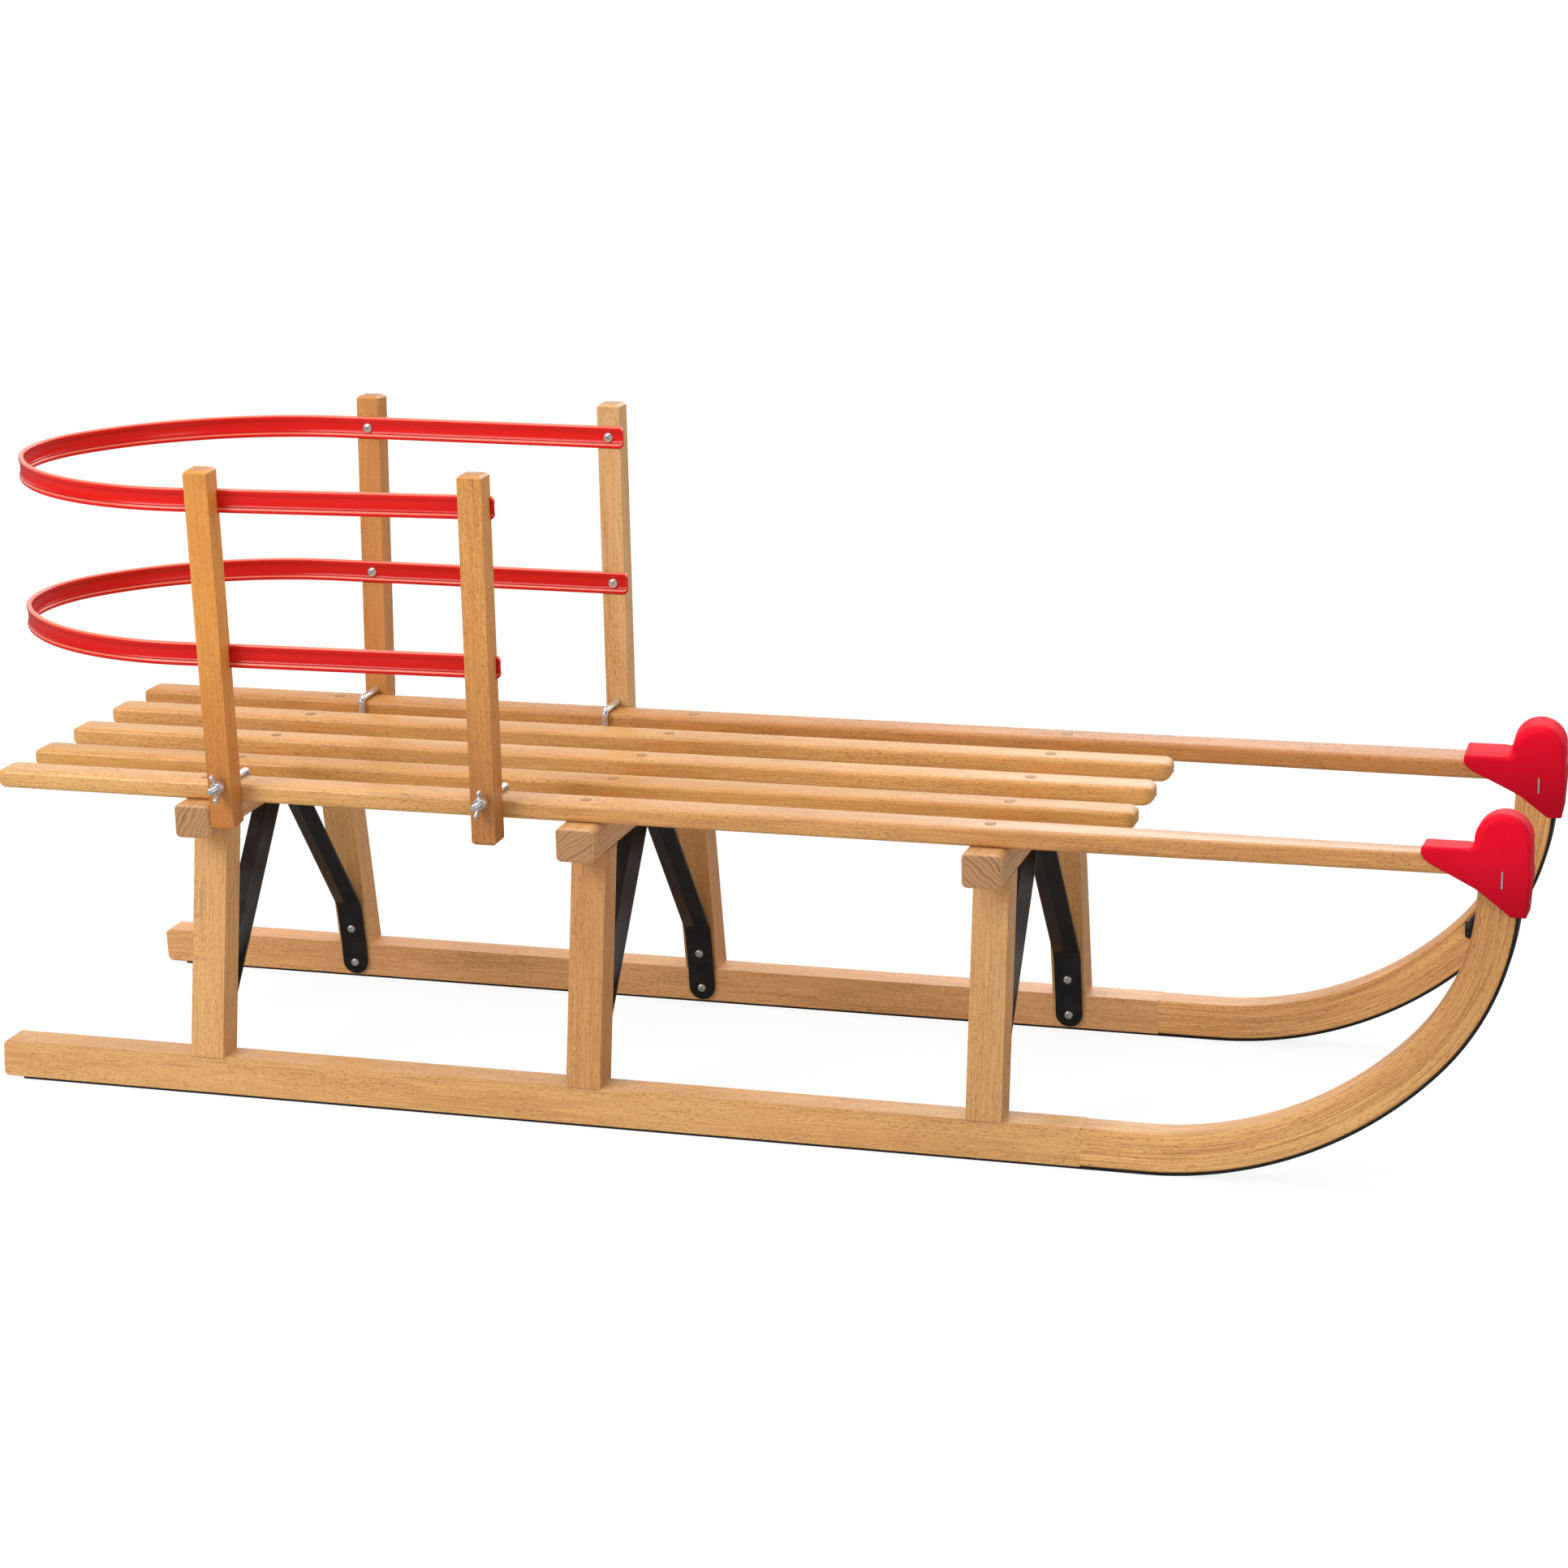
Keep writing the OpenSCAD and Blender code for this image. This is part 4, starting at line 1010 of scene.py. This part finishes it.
parts = []
for level, hoop in HOOPS.items():
    for post_x in POST_X.values():
        x = (post_x - X_MIDDLE) / MM
        for _, sign in SIDES:
            inward = Vector((-math.sin(hoop["slope"]), -sign * math.cos(hoop["slope"]), 0))
            origin = place(x, sign * arm_y(level, x), HOOP_Z[level]) + inward * 1.05 * MM
            parts.append((big_screw, turned(look_along(inward, origin),
                                            8 + 53 * next(screw_number))))
finish(join("hoop_pan_screws", parts), ZINC, "hoop_screws",
       body="backrest", crease=35)

HOOP_HALF = 8.5                                  # half the strip's height
HOOP_CORNER = 3.6                                # rounding of the strip's ends
# (outward, up) from the thin web to the rolled rim, with a fine line inside the rim
HOOP_SIDE = [
    (1.0, 0.0), (1.0, 3.2), (1.18, 3.55), (1.4, 3.9), (1.42, 4.25), (1.32, 4.55), (1.3, 4.8),
    (1.4, 5.15), (1.7, 5.5), (1.95, 6.0), (2.0, 6.6), (1.95, 7.3), (1.65, 7.95), (1.1, 8.35),
    (0.4, HOOP_HALF)]


def hoop_line(level):
    """middle line in plan from the left arm's end to the right arm's, as (point, outward
    normal, fullness of the section)"""
    hoop = HOOPS[level]
    slope, radius, turn = hoop["slope"], hoop["back_radius"], hoop["back_angle"]
    low, high = box_mm(level + "_hoop")
    back, front = low[0] + 2.0, high[0]
    arm_turn = math.pi / 2 - slope

    def ray(angle):
        return Vector((math.cos(angle), math.sin(angle)))

    middle = Vector((back + radius, 0))
    arm = Vector((ARM_X, arm_y(level, ARM_X)))
    # the corner arc touches both the back arc and the arm
    corner_radius = ((arm - middle - radius * ray(turn)).dot(ray(arm_turn))
                     / (ray(arm_turn) - ray(turn)).dot(ray(arm_turn)))
    corner = middle + (radius - corner_radius) * ray(turn)
    half = []
    for i in range(26):
        normal = ray(math.pi + (turn - math.pi) * i / 26)
        half.append((middle + radius * normal, normal, 1.0))
    for i in range(45):
        normal = ray(turn + (arm_turn - turn) * i / 44)
        half.append((corner + corner_radius * normal, normal, 1.0))
    start = half[-1][0]
    along = Vector((math.cos(slope), -math.sin(slope)))
    normal = Vector((math.sin(slope), math.cos(slope)))
    length = (front - start.x) / math.cos(slope)
    half += [(start + along * length * i / 12, normal, 1.0) for i in range(1, 13)]
    line = half[::-1] + [(Vector((p.x, -p.y)), Vector((u.x, -u.y)), full)
                         for p, u, full in half[1:]]
    for _ in range(2):                           # the section closes over a round at each end
        line.reverse()
        tip, normal, _ = line.pop()
        along = (tip - line[-1][0]).normalized()
        for i in range(8, -1, -1):
            angle = math.pi / 2 * i / 8
            line.append((tip - along * (HOOP_CORNER * (1 - math.cos(angle))), normal,
                         math.sin(angle)))
    return line


def hoop_strip(level):
    outer = [(a, -b) for a, b in reversed(HOOP_SIDE[1:])] + HOOP_SIDE
    profile = outer + [(-a, b) for a, b in reversed(outer)]
    rings, grain, run, before = [], [], 0.0, None
    for point, normal, full in hoop_line(level):
        if before is not None:
            run += (point - before).length
        before = point
        tall = (HOOP_HALF - HOOP_CORNER * (1 - full)) / HOOP_HALF
        wide = 0.72 + 0.28 * full
        rings.append([place(point.x + normal.x * a * wide, point.y + normal.y * a * wide,
                            HOOP_Z[level] + b * tall) for a, b in profile])
        grain += [(run, a, b) for a, b in profile]
    finish(loft("hoop_strip_" + level, rings, grain), HOOP_RED[level],
           level + "_hoop", body="backrest", crease=42)


for level in HOOPS:
    hoop_strip(level)


# --------------------------------------------------------------- nose caps
def fillet(corners):
    """closed polygon of (x, z, radius) with each corner rounded"""
    line = []
    for i, (x, z, radius) in enumerate(corners):
        corner = Vector((x, z))
        if radius <= 0:
            line.append(corner)
            continue
        back = Vector(corners[i - 1][:2]) - corner
        ahead = Vector(corners[(i + 1) % len(corners)][:2]) - corner
        back_length, ahead_length = back.length, ahead.length
        back.normalize()
        ahead.normalize()
        angle = back.angle(ahead)
        if abs(math.pi - angle) < 0.02:
            line.append(corner)
            continue
        trim = min(radius / math.tan(angle / 2), back_length * 0.48, ahead_length * 0.48)
        radius = trim * math.tan(angle / 2)
        middle = corner + (back + ahead).normalized() * (radius / math.sin(angle / 2))
        start, stop = corner + back * trim - middle, corner + ahead * trim - middle
        first = math.atan2(start.y, start.x)
        sweep = (math.atan2(stop.y, stop.x) - first + math.pi) % (2 * math.pi) - math.pi
        pieces = max(2, int(abs(sweep) / math.radians(9)))
        for k in range(pieces + 1):
            turn = first + sweep * k / pieces
            line.append(middle + radius * Vector((math.cos(turn), math.sin(turn))))
    return line


BOSS, BOSS_RADIUS = Vector((628.4, 241.0)), 18.4   # round boss on the cap's top, (x, z)
CAP_TOP_Z = 235.7
CAP_START = (576.9, CAP_TOP_Z, 1.6)
CAP_FRONT_AND_UNDERSIDE = [  # x, z, corner radius; from the boss down, then to the rear
    (646.6, 226.0, 0.8), (646.9, 222.6, 0.6), (647.6, 221.6, 0.6), (645.4, 191.8, 1.4),
    (635.4, 192.2, 1.6), (616.5, 206.3, 6.0), (611.5, 209.6, 6.0), (593.0, 218.9, 14.0),
    (583.0, 223.7, 8.0), (578.2, 227.3, 3.0), (576.2, 231.2, 3.0)]


def cap_outline():
    """side view, anticlockwise, with a point about every 0.9 mm"""
    neck = 4.2                                   # radius of the hollow behind the boss
    neck_z = CAP_TOP_Z + neck
    neck_x = BOSS.x - math.sqrt((BOSS_RADIUS + neck) ** 2 - (BOSS.y - neck_z) ** 2)
    corners = [CAP_START]
    turn = math.atan2(BOSS.y - neck_z, BOSS.x - neck_x)
    for i in range(9):
        angle = -math.pi / 2 + (turn + math.pi / 2) * i / 8
        corners.append((neck_x + neck * math.cos(angle), neck_z + neck * math.sin(angle), 0))
    start = math.atan2(neck_z - BOSS.y, neck_x - BOSS.x) + 2 * math.pi
    for i in range(1, 41):
        angle = start - start * i / 40
        corners.append((BOSS.x + BOSS_RADIUS * math.cos(angle),
                        BOSS.y + BOSS_RADIUS * math.sin(angle), 0))
    line = fillet(corners + CAP_FRONT_AND_UNDERSIDE)
    dense = []
    for start, stop in zip(line, line[1:] + line[:1]):
        length = (start - stop).length
        if length >= 0.02:
            pieces = max(1, int(length / 0.9))
            dense += [start.lerp(stop, k / pieces) for k in range(pieces)]
    dense.reverse()
    return dense


def inside(x, z, edges):
    odd = False
    for p, q in edges:
        if (p.y > z) != (q.y > z) and x < (q.x - p.x) * (z - p.y) / (q.y - p.y) + p.x:
            odd = not odd
    return odd


def gap(x, z, edges):
    """distance to the nearest edge"""
    best = 1e9
    for p, q in edges:
        run, rise = q.x - p.x, q.y - p.y
        t = ((x - p.x) * run + (z - p.y) * rise) / (run * run + rise * rise)
        t = 0.0 if t < 0 else 1.0 if t > 1 else t
        best = min(best, (x - p.x - t * run) ** 2 + (z - p.y - t * rise) ** 2)
    return math.sqrt(best)


def cap_half_width(x, z, depth, front_edges):
    """falls off towards the outline like a rounded edge; the boss is domed more widely"""
    boss = 0.0
    if math.hypot(x - BOSS.x, z - BOSS.y) <= 24:
        boss = smoothstep((z - 231.0) / 10.0)
    foot = max(0.0, min(1.0, (z - 193.0) / 14.0))
    edge = 1.2 + 1.2 * foot
    drop = 0.0
    for distance, reach, fall in ((depth, edge + 2.8 * boss, edge + 4.8 * boss),
                                  (gap(x, z, front_edges), 2.6, 2.2)):
        if distance < reach:
            k = 1 - distance / reach
            drop = max(drop, fall * (1 - math.sqrt(max(0.0, 1 - k * k))))
    return 15.25 - drop


def cap_side():
    """side view as ((x, z) points, half widths, triangles)"""
    outline = cap_outline()
    size = len(outline)
    edges = [(outline[i], outline[i - 1]) for i in range(size)]
    front_edges = [(p, q) for p, q in edges if min(p.x, q.x) > 640.5 and max(p.y, q.y) < 240]
    points = list(outline)
    for offset in (0.12, 0.4, 0.85, 1.4, 2.0, 2.7, 3.4, 4.2):
        last = None
        for i in range(size):
            along = (outline[(i + 1) % size] - outline[i - 1]).normalized()
            spot = outline[i] + Vector((-along.y, along.x)) * offset
            if last is not None and (spot - last).length < 0.25 + offset * 0.12:
                continue
            if inside(*spot, edges) and gap(*spot, edges) > offset * 0.985:
                points.append(spot)
                last = spot
    for x in steps(577.0, 650, 1.7):
        for z in steps(186.0, 262, 1.7):
            if inside(x, z, edges) and gap(x, z, edges) > 4.9:
                points.append(Vector((x, z)))
    rim = [(i, (i + 1) % size) for i in range(size)]
    points, _, triangles, sources, _, _ = delaunay_2d_cdt(points, rim, [], 1, 1e-5)
    widths = []
    for (x, z), source in zip(points, sources):
        depth = 0.0 if (source and min(source) < size) else gap(x, z, edges)
        widths.append(cap_half_width(x, z, depth, front_edges))
    return points, widths, triangles


def nose_cap(side, sign, points, widths, triangles):
    middle_y, middle_z = 122.8, 224.0
    cos, sin = math.cos(RUNNER_ANGLE), math.sin(RUNNER_ANGLE)
    verts = []
    for face in (1, -1):
        for (x, z), width in zip(points, widths):
            y, rise = face * width, z - middle_z
            verts.append(place(x, sign * (middle_y + y * cos - rise * sin),
                               middle_z + y * sin + rise * cos))
    size = len(points)
    faces = [tuple(t) for t in triangles]
    faces += [tuple(size + i for i in reversed(t)) for t in triangles]
    edges = dict.fromkeys(edge for t in triangles for edge in zip(t, t[1:] + t[:1]))
    faces += [(a, size + a, size + b, b) for a, b in edges if (b, a) not in edges]
    finish(new_piece("moulded_nose_cap_" + side, verts, faces), CAP_RED,
           "nose_cap_" + side)


cap_view = cap_side()
for side, sign in SIDES:
    nose_cap(side, sign, *cap_view)

# -------------------------------------------------------------- wing nuts
HUB_PROFILE = (  # radius, z
    (0, 0), (4.3, 0), (4.75, 0.35), (4.85, 1.2), (4.6, 3.4), (4.2, 5.6), (3.95, 6.5),
    (3.5, 6.95), (2.62, 7.0), (2.62, 6.2), (0, 6.2))
WING_OUTLINE = (  # x out from the hub, z, corner radius
    (1.5, 0.9, 0.2), (4.6, 0.7, 1.0), (8.0, 3.2, 5.0), (10.7, 5.3, 2.0), (11.15, 8.6, 2.6),
    (9.6, 10.7, 2.2), (6.9, 10.6, 2.2), (5.3, 8.3, 2.4), (3.6, 6.4, 1.5), (1.5, 6.0, 0.2))
WING_TURN = {"rear": 7, "front": -9}             # degrees
BOLT_RADIUS = 2.5
HOOK_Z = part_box("hook_front_left")[1].z - BOLT_RADIUS * MM    # metres


def wing_nut_mesh():
    """local Z out along the bolt, wings along local X, base at z 0"""
    hub = revolve("hub", HUB_PROFILE, 36)
    outline = fillet(WING_OUTLINE)
    for flip in (1, -1):
        rings = [[Vector((flip * p.x * MM, face * (1.25 - 0.035 * p.x) * MM, p.y * MM))
                  for p in outline] for face in (-1.0, 1.0)]
        wing = loft("wing", rings)
        add_bevel(wing, 0.00055, 3)
        apply_modifiers(wing)
        boolean(hub, wing, "UNION")
    return take_mesh(hub)


nut = wing_nut_mesh()
for end, x in POST_X.items():
    for side, sign in SIDES:
        node = "wing_nut_%s_%s" % (end, side)
        low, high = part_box(node)
        base = Vector((x, low.y if sign > 0 else high.y, HOOK_Z))
        # wings near the vertical
        seat = turned(axes(UP, (sign, 0, 0), (0, sign, 0), base), WING_TURN[end])
        finish(join("wing_nut_cast_%s_%s" % (end, side), [(nut, seat)]), ZINC,
               node, body=node, crease=35)

# -------------------------------------------------------------- hook bolts
HOOK_FOOT_Y = 130.0                              # free end of the lower leg
HOOK_BEND = 4.0
THREAD_Y, THREAD_PITCH, THREAD_DEPTH = 149.0, 0.8, 0.42
HOOK_SEGMENTS = 20


def hook_bolt(end, side, sign):
    """lower leg, inner upright and threaded upper leg, in one vertical plane"""
    node = "hook_%s_%s" % (end, side)
    (_, right, bottom), (_, left, top) = box_mm(node)
    tip, inner = (left, right) if sign > 0 else (-right, -left)
    inner += BOLT_RADIUS
    top -= BOLT_RADIUS
    bottom += BOLT_RADIUS
    bend_y = inner + HOOK_BEND

    def bend(start, middle_z):
        angles = [math.radians(start - 9 * i) for i in range(11)]
        return [Vector((bend_y + HOOK_BEND * math.cos(a), middle_z + HOOK_BEND * math.sin(a)))
                for a in angles]

    path = [Vector((HOOK_FOOT_Y - (HOOK_FOOT_Y - bend_y) * i / 4, bottom)) for i in range(4)]
    path += bend(270, bottom + HOOK_BEND)
    path += [Vector((inner, bottom + HOOK_BEND + (top - bottom - 2 * HOOK_BEND) * i / 4))
             for i in range(1, 4)]
    path += bend(180, top - HOOK_BEND)
    path += [Vector((bend_y + (THREAD_Y - bend_y) * i / 5, top)) for i in range(1, 6)]
    turns = [2 * math.pi * k / HOOK_SEGMENTS for k in range(HOOK_SEGMENTS)]
    rings = []
    for i, point in enumerate(path):
        along = (path[min(len(path) - 1, i + 1)] - path[max(0, i - 1)]).normalized()
        normal = Vector((along.y, -along.x))
        radius = BOLT_RADIUS if i else 2.1
        ring = []
        for turn in turns:
            spot = point + normal * radius * math.cos(turn)
            ring.append(Vector((POST_X[end] + radius * math.sin(turn) * MM,
                                sign * spot.x * MM, spot.y * MM)))
        rings.append(ring)
    # thread: the radius follows a helix
    for y in steps(THREAD_Y, tip - 1e-6, 0.16):
        fade = min(1.0, (y - THREAD_Y) / 1.6)
        taper = 0.0 if y < tip - 0.8 else (y - (tip - 0.8)) * 0.75
        ring = []
        for k, turn in enumerate(turns):
            phase = (y / THREAD_PITCH + k / HOOK_SEGMENTS) % 1.0
            radius = BOLT_RADIUS - fade * THREAD_DEPTH * abs(2 * phase - 1) - taper
            ring.append(Vector((POST_X[end] + radius * math.sin(turn) * MM, sign * y * MM,
                                (top - radius * math.cos(turn)) * MM)))
        rings.append(ring)
    finish(loft("hook_bolt_%s_%s" % (end, side), rings), ZINC, node,
           body=node, crease=40)


for end in POST_X:
    for side, sign in SIDES:
        hook_bolt(end, side, sign)

# ---------------------------------------------- pull bow and remaining fixings
set_material(soften("pull_bow", 0.0004, 2), BLACK)
PULL_X, PULL_Z = 583.2, 99.4
parts = []
for _, sign in SIDES:
    origin = place(PULL_X, sign * (runner_inner_y(PULL_Z) - 3.4), PULL_Z)
    parts.append((tiny_screw, turned(look_in(sign, RUNNER_ANGLE, origin), 20)))
finish(join("pull_bow_pan_screws", parts), BLACK, "pull_bow_screws", crease=35)
for node, width in (("slat_screws", 0.0), ("strip_screws", 0.0), ("nose_screws", 0.0),
                    ("cap_staples", 0.0002)):
    set_material(soften(node, width, 2), ZINC)


# ---------------------------------------------------------------- wood plugs
def plug_material():
    """end grain with a dark rim; grain is (x, y, distance from the plug's centre)"""
    net = Surface("plug_end_grain")
    at = net.grain()
    rim = net.ramp(net.split(at)[2], span=(3.05, 3.65))
    cloud = net.noise(at, stretch=(0.9, 2.4, 0.0), detail=3.0, rough=0.6)
    pores = net.noise(at, stretch=(2.3, 4.6, 0.0), detail=1.0)
    colour = net.mix((0.50, 0.265, 0.110), over=(0.34, 0.165, 0.065),
                     by=net.ramp(cloud, span=(0.3, 0.7)))
    colour = net.mix(colour, over=(0.30, 0.14, 0.05),
                     by=net.ramp(pores, span=(0.55, 0.68), to=(0.0, 0.5)))
    colour = net.mix(colour, over=(0.12, 0.050, 0.018), by=net.times(rim, 0.9))
    return net.set(Base_Color=colour,
                   Roughness=net.ramp(cloud, span=(0.3, 0.7), to=(0.38, 0.52)),
                   Normal=net.bump(cloud, strength=0.3), Specular_IOR_Level=0.2)


def wood_plugs():
    """a plug at every crossing of slat and crossbeam, just proud of the slats"""
    verts, faces, grain = [], [], []
    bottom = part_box("slat_plugs")[0].z           # heights here are in metres
    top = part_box("slat_centre")[1].z + 0.00018
    rows = ((3.95, bottom), (3.95, top - 0.00022), (3.80, top - 0.00008), (3.1, top), (1.5, top))
    size, number = 32, 0
    for beam_x in BEAM_X.values():
        for place_name in ("outer_right", "inner_right", "centre", "inner_left", "outer_left"):
            slat_y = centre_of("slat_" + place_name).y
            number += 1
            base = len(verts)
            for radius, z in rows:
                for i in range(size):
                    angle = 2 * math.pi * i / size
                    x, y = radius * math.cos(angle), radius * math.sin(angle)
                    verts.append((beam_x + x * MM, slat_y + y * MM, z))
                    grain.append((x + 31.0 * number, y + 17.0 * number, radius))
            tip = len(verts)
            verts.append((beam_x, slat_y, top))
            grain.append((31.0 * number, 17.0 * number, 0.0))
            last = tip - size
            for row in range(base, last, size):
                for i in range(size):
                    k = (i + 1) % size
                    faces.append((row + i, row + k, row + size + k, row + size + i))
            faces += [(last + i, last + (i + 1) % size, tip) for i in range(size)]
            faces.append(tuple(base + i for i in range(size - 1, -1, -1)))
    piece = new_piece("wood_plugs", verts, faces)
    store_grain(piece, grain)
    return piece


finish(wood_plugs(), plug_material(), "slat_plugs", crease=40)

# ------------------------------------- floor, light, camera; lengths in metres
centre_x = (cad_lo[0] + cad_hi[0]) / 2
WHITE = (1, 1, 1, 1)
BACKDROP = 1.02                                  # strength of the white seen by the camera


def floor_material():
    """pale paper that turns into plain white light away from the sled"""
    net = Surface("pale_floor")
    spot = net.vmath("MULTIPLY", net.coords(), (1, 1, 1))
    cloud = net.noise(spot, scale=6.0, detail=4.0)
    colour = net.mix((0.90, 0.90, 0.90), over=(0.885, 0.885, 0.885),
                     by=net.ramp(cloud, span=(0.3, 0.7)))
    # darker for bounced light, darker still in reflections
    rays = net.add("LightPath").outputs
    colour = net.mix((0.62, 0.62, 0.62), over=colour, by=rays["Is Camera Ray"])
    colour = net.mix(colour, over=(0.16, 0.16, 0.16), by=rays["Is Glossy Ray"])
    far = net.ramp(net.vmath("LENGTH", spot, out=1), span=(0.70, 1.6), to=(0.86, 1.0))
    glow = net.node("Emission", Color=WHITE, Strength=BACKDROP)
    blend = net.node("MixShader", i0=net.times(far, rays["Is Camera Ray"]),
                     i1=net.shader.outputs[0], i2=glow)
    net.put(net.output.inputs[0], blend)
    return net.set(Base_Color=colour, Roughness=0.95, Specular_IOR_Level=0.05)


bpy.ops.mesh.primitive_plane_add(size=14, location=(centre_x, 0, cad_lo[2] - 0.0002))
floor = bpy.context.object
floor.name = "floor"
set_material(floor, floor_material())


def studio_world():
    """even white light, brighter towards +Y in reflections only"""
    world = bpy.data.worlds.new("studio")
    bpy.context.scene.world = world
    world.use_nodes = True
    net = Nodes(world.node_tree)
    rays = net.add("LightPath").outputs
    y = net.split(net.node("TexCoord", "Generated"))[1]
    reflected = net.ramp(y, span=(-0.15, 0.9), to=(0.06, 0.95))
    number = {"data_type": "FLOAT"}
    ambient = 0.60
    strength = net.node("Mix", props=number, i0=rays["Is Glossy Ray"], i2=ambient, i3=reflected)
    strength = net.node("Mix", props=number, i0=rays["Is Camera Ray"], i2=strength, i3=BACKDROP)
    background = net.node("Background", Color=WHITE, Strength=strength)
    net.add("OutputWorld", i0=background)


studio_world()

LIGHTS = (  # name, place, size, watts
    ("top_soft", (centre_x - 0.1, 0.2, 2.6), (2.2, 1.8), 37),
    ("key", (centre_x - 1.9, -2.3, 2.0), (1.7, 1.7), 66),
    ("front_right", (centre_x + 2.2, -2.0, 0.9), (1.2, 1.2), 8),
    ("rim", (centre_x + 0.4, 2.7, 1.5), (2.0, 1.2), 22),
)
target = Vector((centre_x, 0, 0.2))
for name, location, size, power in LIGHTS:
    light = bpy.data.lights.new(name, "AREA")
    light.shape = "RECTANGLE"
    light.size, light.size_y = size
    light.energy = power
    lamp = add_object(name, light)
    lamp.location = location
    lamp.rotation_mode = "QUATERNION"
    lamp.rotation_quaternion = (target - Vector(location)).to_track_quat("-Z", "Y")

lens = bpy.data.cameras.new("camera")
camera = add_object("camera", lens)
lens.sensor_width = 36.0
lens.sensor_fit = "HORIZONTAL"
lens.lens = 86.68881988
lens.shift_x, lens.shift_y = 0.0319875776, -0.0202380952
lens.clip_start, lens.clip_end = 0.05, 60
view_right = Vector((0.955939, 0.292598, -0.023827))
view_up = Vector((-0.052571, 0.250473, 0.966695))
view_ahead = Vector((-0.288821, 0.922849, -0.254819))
camera.matrix_world = axes(view_right, view_up, -view_ahead, place(854.17, -2506.30, 929.01))
scene = bpy.context.scene
scene.camera = camera
scene.view_settings.view_transform = "Standard"
scene.view_settings.look = "None"
scene.view_settings.exposure = 0.0
scene.view_settings.gamma = 1.0
